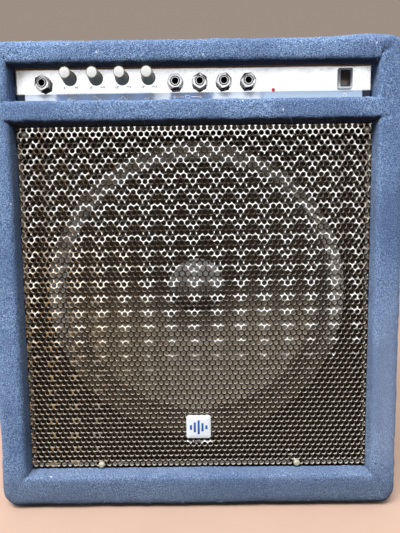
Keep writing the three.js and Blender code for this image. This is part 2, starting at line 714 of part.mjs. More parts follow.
piece(
  "handle_band",
  FINISH.band,
  box(around(0, 112), around(0, 9.5), offset(BAND_Z, 0, 1.6)),
);
piece(
  "handle_grip",
  FINISH.grip,
  cut(
    slab(around(0, 76), around(0, 13.5), offset(CAB_TOP, 2, 13.5), MOULDING),
    box(around(0, 90), around(0, 10), offset(BAND_Z, -0.4, 2)),
  ),
);

function handleCap(side) {
  return cut(
    slab(onSide(side, [88, 132]), around(0, 17), offset(CAB_TOP, GAP, 12), MOULDING),
    box(onSide(side, [80, 122]), around(0, 10.2), offset(BAND_Z, -0.6, 2.4)),
  );
}
piece("handle_cap_left", FINISH.blackPlastic, handleCap(-1));
piece("handle_cap_right", FINISH.blackPlastic, handleCap(1));

export default group;
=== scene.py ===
"""A carpeted combo amplifier: one loudspeaker behind a punched grille, controls above it.

The cabinet stands on z = 0 and is centred on x = 0. Its front faces -Y, +X is to the right
seen from the front and +Z is up. Sizes are in millimetres and MM turns them into metres;
the floor, lights and camera are in metres.
"""
import math

import bmesh
import bpy
import numpy as np
from mathutils import Matrix, Vector, noise as cloth_noise


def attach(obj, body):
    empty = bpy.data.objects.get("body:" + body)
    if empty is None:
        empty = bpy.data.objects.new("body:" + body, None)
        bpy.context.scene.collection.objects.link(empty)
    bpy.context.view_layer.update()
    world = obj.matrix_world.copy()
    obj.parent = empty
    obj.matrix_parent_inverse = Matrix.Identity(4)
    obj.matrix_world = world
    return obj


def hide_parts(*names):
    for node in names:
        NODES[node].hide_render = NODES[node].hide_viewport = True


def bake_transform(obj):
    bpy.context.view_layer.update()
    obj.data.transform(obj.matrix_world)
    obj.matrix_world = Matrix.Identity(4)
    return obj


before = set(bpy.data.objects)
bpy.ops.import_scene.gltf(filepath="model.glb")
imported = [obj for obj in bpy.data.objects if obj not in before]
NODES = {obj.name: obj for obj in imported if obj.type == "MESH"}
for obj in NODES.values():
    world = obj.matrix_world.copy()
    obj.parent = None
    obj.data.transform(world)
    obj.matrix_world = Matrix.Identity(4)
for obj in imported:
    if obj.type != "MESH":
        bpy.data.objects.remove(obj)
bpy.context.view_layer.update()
MM = 0.001

# Cabinet shell
SHELL_X, SHELL_Y = 216.0, 145.0        # half width, half depth
SHELL_Z0, SHELL_Z1 = 5.0, 498.0
EDGE_R, CORNER_R, MOUTH_R = 9.0, 16.0, 5.2
OPEN_X = 188.0                         # half width of both front openings
GRILLE_Z0, GRILLE_Z1 = 38.5, 415.5
PANEL_Z0, PANEL_Z1 = 438.3, 478.2

# Grille sheet, with holes on a 60 degree stagger
SHEET_X, SHEET_Y = 187.2, -128.0       # half width, front face
SHEET_Z0, SHEET_Z1 = 39.3, 414.7
SHEET_THICK = 1.5
HOLE_R = 2.38
PITCH = 6.35
ROW = PITCH * math.sqrt(3) / 2
HOLE_X, HOLE_Z = 1.3, 230.95           # centre of the hole that starts the lattice

SPEAKER_X, SPEAKER_Z = 0.0, 231.8

# Control panel
PANEL_Y = -124.0
BAND_Z = 449.8                         # top of the navy band
KNOB_X = {"volume": -129.0, "bass": -101.6, "mid": -74.2, "treble": -46.8}
KNOB_Z = 464.7
JACK_X = {"input": -157.3, "effects_send": -18.7, "effects_return": 6.8,
          "line_out": 32.0, "headphone": 57.5}
JACK_Z = 459.8
SWITCH_X, SWITCH_Z = 159.2, 461.6


# ------------------------------------------------------------------ shader nodes
class Signal:
    """An output socket of a node tree. Arithmetic on it adds Math nodes."""

    def __init__(self, socket, tree):
        self.socket = socket
        self.tree = tree

    def __add__(self, other):
        return calc("ADD", self, other)

    def __sub__(self, other):
        return calc("SUBTRACT", self, other)

    def __rsub__(self, other):
        return calc("SUBTRACT", other, self)

    def __mul__(self, other):
        return calc("MULTIPLY", self, other)

    def __truediv__(self, other):
        return calc("DIVIDE", self, other)

    def __mod__(self, other):
        return calc("MODULO", self, other)

    def __abs__(self):
        return calc("ABSOLUTE", self)


def connect(tree, socket, value):
    """Links a Signal to the socket, or stores a number, vector or RGB colour in it."""
    if isinstance(value, Signal):
        tree.links.new(value.socket, socket)
        return
    if hasattr(value, "__len__") and len(value) < len(socket.default_value):
        value = (*value, 1.0)
    socket.default_value = value


def node(kind, inputs, output=0, tree=None, **settings):
    """Adds a node to the tree of its inputs; inputs that are None are left alone."""
    tree = tree or next(v.tree for v in inputs.values() if isinstance(v, Signal))
    made = tree.nodes.new("ShaderNode" + kind)
    for key, value in settings.items():
        setattr(made, key, value)
    for key, value in inputs.items():
        if value is not None:
            connect(tree, made.inputs[key], value)
    return Signal(made.outputs[output], tree)


def calc(operation, first, second=None, clamp=False):
    return node("Math", {0: first, 1: second}, operation=operation, use_clamp=clamp)


def vector(operation, first, second=None, scale=None):
    output = "Value" if operation == "LENGTH" else 0
    return node("VectorMath", {0: first, 1: second, "Scale": scale}, output, operation=operation)


def xyz(value):
    split = node("SeparateXYZ", {0: value})
    return [Signal(socket, value.tree) for socket in split.socket.node.outputs]


def combine(x, y, z):
    return node("CombineXYZ", {0: x, 1: y, 2: z})


def radius(x, z):
    return vector("LENGTH", combine(x, z, 0.0))


def noise(point, scale, detail=3.0, rough=0.5, output="Fac", stretch=None, distortion=0.0):
    """Noise with features about 1/scale millimetres across."""
    if stretch is not None:
        point = vector("MULTIPLY", point, stretch)
    return node("TexNoise", {"Vector": point, "Scale": scale, "Detail": detail,
                             "Roughness": rough, "Distortion": distortion}, output)


def fade(value, over, to=(0.0, 1.0)):
    """Smooth step: carries value across the range `over` to the range `to`."""
    inputs = dict(enumerate((value, *over, *to)))
    return node("MapRange", inputs, interpolation_type="SMOOTHSTEP")


def stripe(value, inner, outer):
    """1 where value is within inner of zero, 0 beyond outer."""
    return fade(abs(value), over=(inner, outer), to=(1.0, 0.0))


def mix(factor, first, second):
    return node("Mix", {0: factor, 6: first, 7: second}, 2, data_type="RGBA", blend_type="MIX")


def bump(height, depth, strength, normal=None):
    """Bump of the given depth in millimetres."""
    return node("Bump", {"Strength": strength, "Distance": depth * MM, "Height": height,
                         "Normal": normal})


def srgb(red, green, blue):
    """sRGB 0..255 to linear."""
    def linear(c):
        return c / 12.92 if c <= 0.04045 else ((c + 0.055) / 1.055) ** 2.4
    return tuple(linear(v / 255.0) for v in (red, green, blue))


def scaled(color, factor):
    return tuple(min(1.0, c * factor) for c in color)


# ------------------------------------------------------------------ materials
MATERIALS = {}
SHADER_INPUTS = {
    "color": "Base Color", "rough": "Roughness", "metal": "Metallic", "normal": "Normal",
    "coat": "Coat Weight", "coat_rough": "Coat Roughness", "sheen": "Sheen Weight",
    "sheen_rough": "Sheen Roughness", "sheen_tint": "Sheen Tint", "spec": "Specular IOR Level",
    "emit": "Emission Color", "emit_strength": "Emission Strength",
}


class Surface:
    """A new material with one Principled shader; `point` is the place in object millimetres."""

    def __init__(self, name):
        material = bpy.data.materials.new(name)
        material.use_nodes = True
        MATERIALS[name] = material
        self.tree = material.node_tree
        self.tree.nodes.clear()
        output = self.tree.nodes.new("ShaderNodeOutputMaterial")
        self.shader = self.tree.nodes.new("ShaderNodeBsdfPrincipled")
        self.tree.links.new(self.shader.outputs[0], output.inputs[0])
        place = node("TexCoord", {}, "Object", tree=self.tree)
        self.point = vector("SCALE", place, scale=1000.0)

    def normals(self):
        """The shading normal and the flat face normal."""
        outputs = node("NewGeometry", {}, tree=self.tree).socket.node.outputs
        return [Signal(outputs[key], self.tree) for key in ("Normal", "True Normal")]

    def set(self, **values):
        for key, value in values.items():
            connect(self.tree, self.shader.inputs[SHADER_INPUTS[key]], value)


def carpet_material():
    surface = Surface("carpet_blue")
    point = surface.point
    swirl = noise(point, scale=0.9, detail=2, output="Color")
    warp = vector("ADD", point, vector("SCALE", swirl, scale=1.2))
    clump = noise(warp, scale=0.85, rough=0.66)
    fibre = noise(warp, scale=2.0, rough=0.7, stretch=(1.0, 0.8, 0.55))
    fleck = noise(vector("ADD", warp, (31.0, 17.0, 5.0)), scale=0.75, detail=2)
    broad = noise(point, scale=0.018)
    ramp = node("ValToRGB", {0: clump * 0.62 + fibre * 0.38})
    stops = [
        (0.38, srgb(38, 54, 82)), (0.45, srgb(74, 97, 134)), (0.505, srgb(109, 136, 175)),
        (0.56, srgb(142, 170, 208)), (0.64, srgb(200, 220, 243)),
    ]
    elements = ramp.socket.node.color_ramp.elements
    while len(elements) < len(stops):
        elements.new(0.5)
    for element, (place, color) in zip(elements, stops):
        element.position = place
        element.color = (*color, 1.0)
    # grey and violet fibres in the heather
    col = mix(fade(fleck, over=(0.56, 0.66), to=(0, 0.45)), ramp, srgb(150, 161, 182))
    violet = noise(vector("ADD", point, (7.0, 3.0, 90.0)), scale=0.5, detail=2)
    col = mix(fade(violet, over=(0.58, 0.7), to=(0, 0.22)), col, srgb(84, 92, 130))
    col = mix(fade(broad, over=(0.38, 0.66), to=(0, 0.45)), col, srgb(68, 88, 126))
    x, _, z = xyz(point)
    # dust near the floor; on the right side painted light low and painted shade high; painted
    # shade on the undersides
    low = fade(z + broad * 30.0, over=(70.0, 28.0), to=(0.0, 0.55))
    col = mix(low, col, srgb(98, 102, 112))
    # painted light and shade on the right side: paler low down, darker high up
    right = fade(x, over=(178.0, 200.0))
    pale = fade(z, over=(300.0, 120.0), to=(0.0, 0.36)) * fade(z, over=(22.0, 70.0))
    col = mix(right * pale, col, srgb(172, 182, 204))
    high = fade(z, over=(220.0, 400.0), to=(0.0, 0.3))
    col = mix(right * high, col, srgb(62, 84, 124))
    # painted shade: faces that look down are darkened
    _, facet = surface.normals()
    under = fade(xyz(facet)[2], over=(-0.35, -0.8), to=(0.0, 0.85))
    col = mix(under, col, srgb(50, 46, 48))
    # lint in a few of the cells
    distance, cell = (
        node("TexVoronoi", {"Vector": vector("MULTIPLY", warp, (1.0, 1.0, 0.7)),
                            "Scale": 0.075}, output)
        for output in ("Distance", "Color"))
    few = calc("GREATER_THAN", xyz(cell)[0], 0.72)
    lint = fade(distance, over=(0.045, 0.085), to=(0.75, 0.0))
    col = mix(lint * few, col, srgb(225, 230, 236))
    height = clump * 1.2 + fibre * 0.8
    surface.set(color=col, rough=0.95, spec=0.12, sheen=0.25, sheen_rough=0.5,
                sheen_tint=srgb(190, 205, 235), normal=bump(height, depth=1.0, strength=0.9))


def grille_material():
    """Gloss black punched sheet: webs dished in a repeating pattern, rolled into each hole."""
    surface = Surface("grille_gloss_black")
    point = surface.point
    x, _, z = xyz(point)
    across = x - HOLE_X
    up = z - HOLE_Z

    def cell(value, period, shift):
        """Distance to the nearest lattice line; 400 periods keep the modulo positive."""
        return (value + (period * 400 + shift + period / 2)) % period - period / 2

    # offset (x, z) and distance to the nearest hole, from the even and the odd rows
    even_x, even_z = cell(across, PITCH, 0.0), cell(up, 2 * ROW, 0.0)
    odd_x, odd_z = cell(across, PITCH, PITCH / 2), cell(up, 2 * ROW, ROW)
    even_r = radius(even_x, even_z)
    odd_r = radius(odd_x, odd_z)
    is_odd = calc("LESS_THAN", odd_r, even_r)
    hole_x = even_x + is_odd * (odd_x - even_x)
    hole_z = even_z + is_odd * (odd_z - even_z)
    hole_r = calc("MINIMUM", even_r, odd_r)
    roll = fade(hole_r, over=(HOLE_R, HOLE_R + 0.5), to=(0.8, 0.0))
    slope = roll / calc("MAXIMUM", hole_r, 0.5)
    tilt_x = hole_x * (slope * -1.0)
    tilt_z = hole_z * (slope * -1.0)
    # the punch pattern: four columns by three rows
    full_turn = 2 * math.pi
    wobble = noise(point, scale=0.03, detail=2)
    phase_x = across * (full_turn / (4 * PITCH)) + wobble * 1.6
    phase_z = up * (full_turn / (3 * ROW)) + wobble * 2.0
    # flatter along the folded edges, fully dished inside
    inside_x = SHEET_X - abs(x)
    inside_z = (SHEET_Z1 - SHEET_Z0) / 2 - abs(z - (SHEET_Z0 + SHEET_Z1) / 2)
    depth = (fade(inside_z, over=(3.0, 14.0), to=(0.35, 1.0))
             * fade(z, over=(110.0, 285.0), to=(0.06, 0.135))
             * fade(inside_x, over=(0.0, 10.0), to=(0.6, 1.0)))
    # uneven rise and fall with height, so each bright patch narrows downwards
    saw = calc("SINE", phase_z) - calc("SINE", phase_z * 2.0) * 0.38
    dish = saw * 0.98 + calc("COSINE", phase_x) * 0.95
    tilt_z = tilt_z + dish * depth
    tilt_x = tilt_x + calc("SINE", phase_x) * 0.05
    jitter_x, jitter_y, jitter_z = xyz(noise(point, scale=0.35, detail=2, output="Color"))
    tilt_z = tilt_z + (jitter_z - 0.5) * 0.13
    tilt_x = tilt_x + (jitter_x - 0.5) * 0.16
    # a dent below the badge and a scratch near the lower right screw
    dent = stripe(x - 2.0, inner=13.0, outer=16.0) * stripe(z - 68.6, inner=1.6, outer=2.6)
    slant = (x - 105.5) + (z - 52.0) * 0.62
    scar = stripe(slant, inner=0.9, outer=1.6) * stripe(z - 52.0, inner=6.0, outer=7.5)
    tilt_z = tilt_z + (dent + scar) * 0.36
    # only the front face is dished
    normal, facet = surface.normals()
    front = calc("LESS_THAN", xyz(facet)[1], -0.7)
    tilt = vector("SCALE", combine(tilt_x, 0.0, tilt_z), scale=front)
    normal = vector("NORMALIZE", vector("ADD", normal, tilt))
    # dust, and a warmer tone on the left as painted warm reflection
    dust = fade(noise(point, scale=0.6, detail=4, rough=0.65), over=(0.5, 0.75), to=(0.0, 0.35))
    col = mix(dust, (0.84, 0.82, 0.79), (0.56, 0.51, 0.44))
    painted_warm_reflection = fade(x, over=(-20.0, -120.0)) * fade(z, over=(320.0, 270.0))
    col = mix(painted_warm_reflection, col, (0.92, 0.82, 0.68))
    # painted amber reflection on the lower left, in the same repeat
    painted_amber_reflection = calc("SINE", phase_z + 2.3) + calc("COSINE", phase_x + 1.9) * 0.9
    painted_amber_reflection = fade(painted_amber_reflection + (jitter_y - 0.5) * 3.4, over=(1.2, 1.5))
    painted_amber_reflection = painted_amber_reflection * (fade(x, over=(-70.0, -160.0)) * fade(z, over=(300.0, 230.0)))
    painted_amber_reflection = painted_amber_reflection * front
    col = mix(painted_amber_reflection, col, (0.42, 0.25, 0.11))
    # hole walls painted pale, as painted highlight for the lit lower rims of the holes
    col = mix(front, (0.76, 0.72, 0.64), col)
    metal = (front * 0.75 + 0.25) * (1.0 - painted_amber_reflection * 0.85)
    rough = fade(noise(point, scale=0.08), over=(0.3, 0.7), to=(0.10, 0.18))
    surface.set(color=col, rough=rough, metal=metal, normal=normal)


def panel_material():
    """Silver lacquered panel: a navy band along the foot, washed out in places by painted sky
    reflection.
    """
    surface = Surface("panel_silver_navy")
    point = surface.point
    x, _, z = xyz(point)
    edge = z + noise(point, scale=1.5, detail=2) * 0.12
    band = fade(edge, over=(BAND_Z, BAND_Z + 0.15), to=(1.0, 0.0))
    line = (fade(edge, over=(BAND_Z + 0.4, BAND_Z + 0.5))
            * fade(edge, over=(BAND_Z + 0.75, BAND_Z + 0.85), to=(1.0, 0.0)))
    flake = noise(point, scale=5.0, rough=0.7)
    silver = mix(fade(flake, over=(0.35, 0.65)), srgb(240, 241, 243), srgb(249, 250, 251))
    navy = mix(fade(flake, over=(0.35, 0.65)), srgb(16, 72, 128), srgb(44, 108, 168))
    ragged_x = x + (noise(point, scale=0.2, rough=0.6) - 0.5) * 12.0

    def span(start, end, soft):
        return (fade(ragged_x, over=(start - soft, start + soft))
                * fade(ragged_x, over=(end - soft, end + soft), to=(1.0, 0.0)))

    # painted sky reflection: spans of the navy band washed out pale
    painted_sky_reflection = calc("ADD", span(-180.0, -145.0, soft=4.0),
                span(-42.0, -25.0, soft=3.0) + span(20.0, 70.0, soft=4.0), clamp=True)
    navy = mix(painted_sky_reflection * 0.8, navy, srgb(232, 240, 248))
    # painted sky reflection, fainter, over the right part of the band
    navy = mix(span(72.0, 190.0, soft=4.0) * 0.62, navy, srgb(196, 220, 238))
    # painted reflection: the band's ends darker navy, with no lacquer shine below, for the dark
    # side returns they reflect
    ends = fade(abs(x), over=(177.0, 178.0))
    navy = mix(ends, navy, srgb(8, 26, 52))
    col = mix(band, silver, navy)
    col = mix(line, col, navy)
    smear = noise(point, scale=0.06, detail=4, rough=0.6, stretch=(1.0, 1.0, 1.6))
    col = mix(fade(smear, over=(0.55, 0.8), to=(0, 0.1)), col, srgb(200, 202, 206))
    rough = fade(smear, over=(0.3, 0.75), to=(0.05, 0.10))
    metal = (1.0 - band) * 0.82
    # a brown strip along the top edge, darker towards the top
    top = fade(z + noise(point, scale=0.05, detail=2) * 1.2, over=(474.4, 475.3))
    brown_strip_tone = mix(fade(z, over=(473.8, 476.8)), srgb(250, 208, 172), srgb(206, 156, 118))
    col = mix(top, col, brown_strip_tone)
    lacquer_and_painted_shade = 1.0 - calc("MAXIMUM", top, band * ends)
    surface.set(color=col, rough=rough, metal=metal * lacquer_and_painted_shade, coat=lacquer_and_painted_shade * 0.9 + 0.1,
                coat_rough=0.06, spec=lacquer_and_painted_shade * 0.8 + 0.2,
                normal=bump(flake, depth=0.0025, strength=0.4))


def cone_material():
    surface = Surface("cone_paper")
    point = surface.point
    x, _, z = xyz(point)
    from_axis = radius(x, z - SPEAKER_Z)
    fibre = noise(point, scale=1.6, detail=4, rough=0.7)
    blotch = noise(point, scale=0.05, detail=4, rough=0.6)
    col = mix(fade(fibre, over=(0.3, 0.7)), srgb(156, 144, 124), srgb(200, 188, 166))
    col = mix(fade(blotch, over=(0.45, 0.7), to=(0, 0.45)), col, srgb(146, 134, 116))
    # painted shade: the upper half is painted darker than the lower half, which faces up, and a
    # ring round the dust cap is painted dark as its shadow; the left side is browner
    lacquer_and_painted_shade = mix(fibre, srgb(56, 49, 41), srgb(84, 76, 66))
    col = mix(fade(x, over=(-10.0, -120.0), to=(0.0, 0.55)), col, srgb(138, 114, 84))
    painted_lit_lower = fade(z + blotch * 24.0, over=(262.0, 188.0))
    col = mix(painted_lit_lower, lacquer_and_painted_shade, col)
    col = mix(fade(from_axis, over=(74.0, 48.0), to=(0.0, 0.7)), col, lacquer_and_painted_shade)
    rings = calc("SINE", from_axis * (2 * math.pi / 9.0))
    surface.set(color=col, rough=0.9, spec=0.2,
                normal=bump(rings * 0.35 + fibre, depth=0.5, strength=0.6))


def coil_material():
    surface = Surface("coil_copper")
    _, y, _ = xyz(surface.point)
    turns = calc("SINE", y * (2 * math.pi / 0.5))
    wound = fade(y, over=(-8.5, -7.5))
    col = mix(wound, srgb(186, 150, 96), srgb(176, 98, 52))
    surface.set(color=col, rough=0.35, metal=wound * 0.9,
                normal=bump(turns, depth=0.12, strength=0.7))


def wood_material(name, light, dark):
    surface = Surface(name)
    point = surface.point
    figure = noise(point, scale=0.09, detail=5, rough=0.6, stretch=(1.0, 0.16, 1.0),
                   distortion=0.6)
    pores = noise(point, scale=1.2, rough=0.6, stretch=(1.0, 0.06, 1.0))
    col = mix(fade(figure, over=(0.3, 0.7)), light, dark)
    col = mix(fade(pores, over=(0.5, 0.7), to=(0, 0.5)), col, dark)
    surface.set(color=col, rough=0.75, spec=0.3, normal=bump(pores, depth=0.15, strength=0.5))


def bush_material():
    """Nickelled front ring; the thread behind it is painted dark, as painted shade in the gap."""
    surface = Surface("bush_nickel_ring")
    _, y, _ = xyz(surface.point)
    # painted shade: the thread behind the front ring is darkened
    behind = fade(y, over=(-130.85, -130.55))
    grain = noise(surface.point, scale=2.0)
    bright = mix(grain, srgb(214, 215, 217), srgb(244, 244, 245))
    surface.set(color=mix(behind, bright, srgb(34, 33, 32)), rough=0.2, metal=0.95,
                normal=bump(grain, depth=0.006, strength=0.5))


def nut_material():
    """Bright turned face; the flanks are painted pale where they face up and dark elsewhere, as
    painted light and shade.
    """
    surface = Surface("nut_dress_nickel")
    _, facet = surface.normals()
    _, facing_y, facing_z = xyz(facet)
    side = fade(facing_y, over=(-0.75, -0.45))
    grain = noise(surface.point, scale=1.6, detail=4, rough=0.6)
    # painted light and shade on the flanks by the way they face
    upward = fade(facing_z + grain * 0.15, over=(-0.15, 0.65))
    bright = mix(grain, srgb(222, 223, 225), srgb(246, 246, 247))
    painted_flank_light_shade = mix(upward, srgb(26, 25, 24), srgb(198, 198, 197))
    surface.set(color=mix(side, bright, painted_flank_light_shade), rough=0.2, metal=0.95 - side * 0.55,
                normal=bump(grain, depth=0.005, strength=0.5))


def plain(name, color, rough, metal=0.0, grain=1.0, amount=0.12, bump_mm=0.03, scratch=0.0,
          coat=0.0, spec=0.5, stretch=None, dirt=None, rough_var=0.08, sheen=0.0,
          low=None, ring=None):
    """Fine grain and uneven tone, by `amount`, with scratches and dirt if asked.

    low: (z0, z1, tone), a tone that fades out from z0 up to z1.
    ring: (r0, r1, tone), painted shade: a tone inside a radius about the speaker axis and to its
    right.
    """
    surface = Surface(name)
    point = surface.point
    fine = noise(point, scale=grain, detail=4, rough=0.6, stretch=stretch)
    broad = noise(point, scale=grain * 0.06)
    col = mix(fade(fine, over=(0.35, 0.65)), scaled(color, 1 - amount), scaled(color, 1 + amount))
    col = mix(fade(broad, over=(0.45, 0.75), to=(0, 0.5)), col, scaled(color, 1 - 1.6 * amount))
    if dirt:
        spots = noise(point, scale=grain * 0.25, detail=4, rough=0.7)
        col = mix(fade(spots, over=(0.56, 0.72), to=(0, 0.6)), col, dirt)
    if low:
        z0, z1, tone = low
        col = mix(fade(xyz(point)[2], over=(z1, z0)), col, mix(fine, scaled(tone, 0.8), tone))
    # painted shade inside the radius and to the right of the axis, weaker low down
    if ring:
        r0, r1, tone = ring
        x, _, z = xyz(point)
        keep = (fade(radius(x, z - SPEAKER_Z), over=(r0, r1))
                * fade(x, over=(10.0, 130.0), to=(1.0, 0.2)))
        keep = calc("MAXIMUM", keep, fade(z, over=(240.0, 190.0), to=(0.0, 0.55)))
        col = mix(keep, tone, col)
    rough = calc("ADD", rough, (broad - 0.5) * (2 * rough_var), clamp=True)
    normal = bump(fine, depth=bump_mm, strength=0.8)
    if scratch:
        run = noise(point, scale=0.25, detail=2, rough=0.4, stretch=(12.0, 1.0, 0.35))
        line = fade(abs(run - 0.5), over=(0.0, 0.012), to=(scratch, 0.0))
        col = mix(line, col, tuple(min(1.0, c * 1.6 + 0.05) for c in color))
        normal = bump(line, depth=-0.05, strength=0.5, normal=normal)
    surface.set(color=col, rough=rough, metal=metal, coat=coat, spec=spec, normal=normal,
                sheen=sheen)


def brushed(name, color, rough, stretch=(1.0, 1.0, 14.0)):
    surface = Surface(name)
    hairs = noise(surface.point, scale=1.4, detail=4, rough=0.6, stretch=stretch)
    blotch = noise(surface.point, scale=0.12)
    col = mix(fade(hairs, over=(0.3, 0.7)), scaled(color, 0.86), color)
    col = mix(fade(blotch, over=(0.55, 0.8), to=(0, 0.3)), col, scaled(color, 0.6))
    rough = calc("ADD", rough, (hairs - 0.5) * 0.18, clamp=True)
    surface.set(color=col, rough=rough, metal=1.0, normal=bump(hairs, depth=0.012, strength=0.7))


def led_material():
    surface = Surface("led_red")
    glow = noise(surface.point, scale=1.2, detail=2)
    surface.set(color=mix(glow, srgb(206, 52, 72), srgb(238, 96, 110)), rough=0.18, coat=0.6,
                emit=srgb(224, 30, 40), emit_strength=0.5)


def build_materials():
    carpet_material()
    grille_material()
    panel_material()
    cone_material()
    coil_material()
    wood_material("plywood", light=srgb(186, 150, 104), dark=srgb(136, 98, 60))
    wood_material("baffle_stained", light=srgb(62, 52, 40), dark=srgb(38, 32, 26))
    plain("rear_board_black", srgb(30, 30, 31), rough=0.62, grain=1.4, amount=0.25,
          bump_mm=0.12, dirt=srgb(62, 58, 52))
    plain("screw_zinc", srgb(255, 248, 220), rough=0.36, metal=0.55, grain=2.5, amount=0.15,
          bump_mm=0.01, scratch=0.4)
    plain("chassis_black", srgb(24, 24, 26), rough=0.42, metal=0.2, grain=3.0, amount=0.2,
          scratch=0.3)
    plain("speaker_frame_black", srgb(30, 30, 32), rough=0.4, metal=0.3, grain=2.0, amount=0.2)
    plain("nut_nickel", srgb(216, 217, 219), rough=0.16, metal=1.0, grain=2.0, amount=0.06,
          bump_mm=0.006, scratch=0.25)
    bush_material()
    nut_material()
    plain("bush_nickel", srgb(150, 152, 156), rough=0.3, metal=1.0, grain=2.0, bump_mm=0.01)
    brushed("motor_steel_zinc", srgb(178, 178, 174), rough=0.35)
    plain("ferrite_grey", srgb(44, 44, 47), rough=0.7, grain=1.8, amount=0.3, bump_mm=0.05)
    plain("gasket_paper", srgb(196, 192, 186), rough=0.85, low=(120.0, 250.0, srgb(128, 112, 90)),
          grain=1.2, amount=0.14, bump_mm=0.08, dirt=srgb(120, 112, 100))
    # the ring tone is painted shade on the surround
    plain("surround_cloth", srgb(202, 204, 206), rough=0.8,
          low=(150.0, 260.0, srgb(140, 122, 98)), ring=(152.0, 157.0, srgb(72, 64, 56)),
          grain=2.6, amount=0.25, bump_mm=0.12, sheen=0.2)
    # painted shade: the lower part of the dust cap is darkened
    plain("cap_paper", srgb(196, 196, 198), rough=0.75, low=(214.0, 252.0, srgb(74, 64, 54)),
          grain=1.6, bump_mm=0.08, dirt=srgb(130, 124, 112))
    plain("spider_cloth", srgb(196, 158, 88), rough=0.9, grain=1.5, amount=0.2, bump_mm=0.15)
    plain("board_green", srgb(30, 84, 52), rough=0.35, grain=0.7, amount=0.25, coat=0.3)
    plain("transformer_tape", srgb(196, 160, 58), rough=0.4, grain=0.8, amount=0.15,
          bump_mm=0.1, stretch=(1.0, 1.0, 0.2))
    brushed("sink_aluminium", srgb(188, 190, 194), rough=0.4, stretch=(1.0, 0.2, 8.0))
    plain("capacitor_sleeve", srgb(34, 48, 96), rough=0.3, amount=0.1, coat=0.4)
    brushed("pot_can", srgb(186, 186, 184), rough=0.35)
    plain("knob_charcoal", srgb(172, 166, 142), rough=0.36, coat=0.2, grain=3.0, amount=0.14,
          dirt=srgb(96, 95, 92))
    plain("knob_cap_aluminium", srgb(253, 253, 251), rough=0.2, metal=0.85, grain=3.0,
          amount=0.02, bump_mm=0.001, rough_var=0.02)
    plain("pointer_white", srgb(232, 232, 230), rough=0.45, grain=2.0, amount=0.04)
    plain("print_grey", srgb(42, 44, 50), rough=0.5, grain=3.0, bump_mm=0.005)
    plain("print_white", srgb(236, 239, 243), rough=0.5, grain=3.0, amount=0.05, bump_mm=0.005)
    plain("jack_black", srgb(12, 12, 13), rough=0.75, spec=0.12, grain=2.0, amount=0.2)
    plain("switch_bezel_grey", srgb(246, 248, 252), rough=0.42, metal=0.12, grain=3.0,
          amount=0.06, bump_mm=0.02, coat=0.2)
    plain("rocker_brown", srgb(84, 74, 64), rough=0.2, grain=2.5, amount=0.1, bump_mm=0.015,
          coat=0.5)
    plain("foot_rubber", srgb(26, 26, 27), rough=0.85, grain=2.0, amount=0.2, bump_mm=0.06)
    plain("grip_rubber", srgb(27, 27, 28), rough=0.6, grain=2.2, amount=0.22, bump_mm=0.1,
          dirt=srgb(52, 50, 47))
    plain("cap_black", srgb(22, 22, 23), rough=0.42, grain=2.4, amount=0.2, bump_mm=0.05,
          scratch=0.25)
    plain("band_black", srgb(26, 26, 27), rough=0.4, metal=0.3, grain=1.8, amount=0.2)
    plain("badge_white", srgb(236, 238, 240), rough=0.25, grain=1.2, amount=0.03, bump_mm=0.01,
          coat=0.4)
    plain("badge_blue", srgb(44, 92, 158), rough=0.3, grain=1.6, coat=0.3)
    plain("fibre_pale", srgb(150, 172, 206), rough=0.9, grain=0.6, amount=0.45, bump_mm=0.02)
    led_material()


# ------------------------------------------------------------------ mesh helpers
def link_object(name, data):
    obj = bpy.data.objects.new(name, data)
    bpy.context.scene.collection.objects.link(obj)
    return obj


def shade(obj, angle=35.0):
    """Smooth shading, with edges sharper than the angle left hard (180 leaves none)."""
    mesh = obj.data
    mesh.polygons.foreach_set("use_smooth", [True] * len(mesh.polygons))
    if angle < 179:
        mesh.set_sharp_from_angle(angle=math.radians(angle))
    mesh.update()


def fix_normals(obj):
    bm = bmesh.new()
    bm.from_mesh(obj.data)
    bmesh.ops.recalc_face_normals(bm, faces=bm.faces)
    bm.to_mesh(obj.data)
    bm.free()


def from_points(name, verts, faces, mat, angle=180.0, fix=True):
    """An object from points in millimetres."""
    mesh = bpy.data.meshes.new(name)
    mesh.from_pydata((np.asarray(verts, float) * MM).tolist(), [], [list(f) for f in faces])
    mesh.validate()
    obj = link_object(name, mesh)
    mesh.materials.append(MATERIALS[mat])
    if fix:
        fix_normals(obj)
    shade(obj, angle)
    return obj


def from_bmesh(name, bm, mat, angle=35.0):
    bmesh.ops.recalc_face_normals(bm, faces=bm.faces)
    mesh = bpy.data.meshes.new(name)
    bm.to_mesh(mesh)
    bm.free()
    obj = link_object(name, mesh)
    mesh.materials.append(MATERIALS[mat])
    shade(obj, angle)
    return obj


def lathe(name, profile, centre, mat, seg, angle=35.0, mod=None, upright=False):
    """Turns a profile of (radius, place along the axis) about a line through centre.

    The line runs along Y with centre (x, z), or along Z with centre (x, y) if upright. A
    profile off the axis is closed on itself. mod(i, angle) scales the radius at row i.
    """
    closed = not (profile[0][0] == 0 and profile[-1][0] == 0)
    verts, rows = [], []
    for i, (r, along) in enumerate(profile):
        count = 1 if r == 0 else seg
        rows.append(range(len(verts), len(verts) + count))
        for k in range(count):
            turn = 2 * math.pi * k / seg
            reach = r * mod(i, turn) if mod else r
            side_x = centre[0] + reach * math.cos(turn)
            side = centre[1] + reach * math.sin(turn)
            verts.append((side_x, side, along) if upright else (side_x, along, side))
    pairs = list(zip(rows, rows[1:]))
    if closed:
        pairs.append((rows[-1], rows[0]))
    faces = []
    for one, two in pairs:
        for k in range(seg):
            n = (k + 1) % seg
            if len(one) == 1:
                faces.append((one[0], two[k], two[n]))
            elif len(two) == 1:
                faces.append((one[n], one[k], two[0]))
            else:
                faces.append((one[n], one[k], two[k], two[n]))
    return from_points(name, verts, faces, mat, angle)


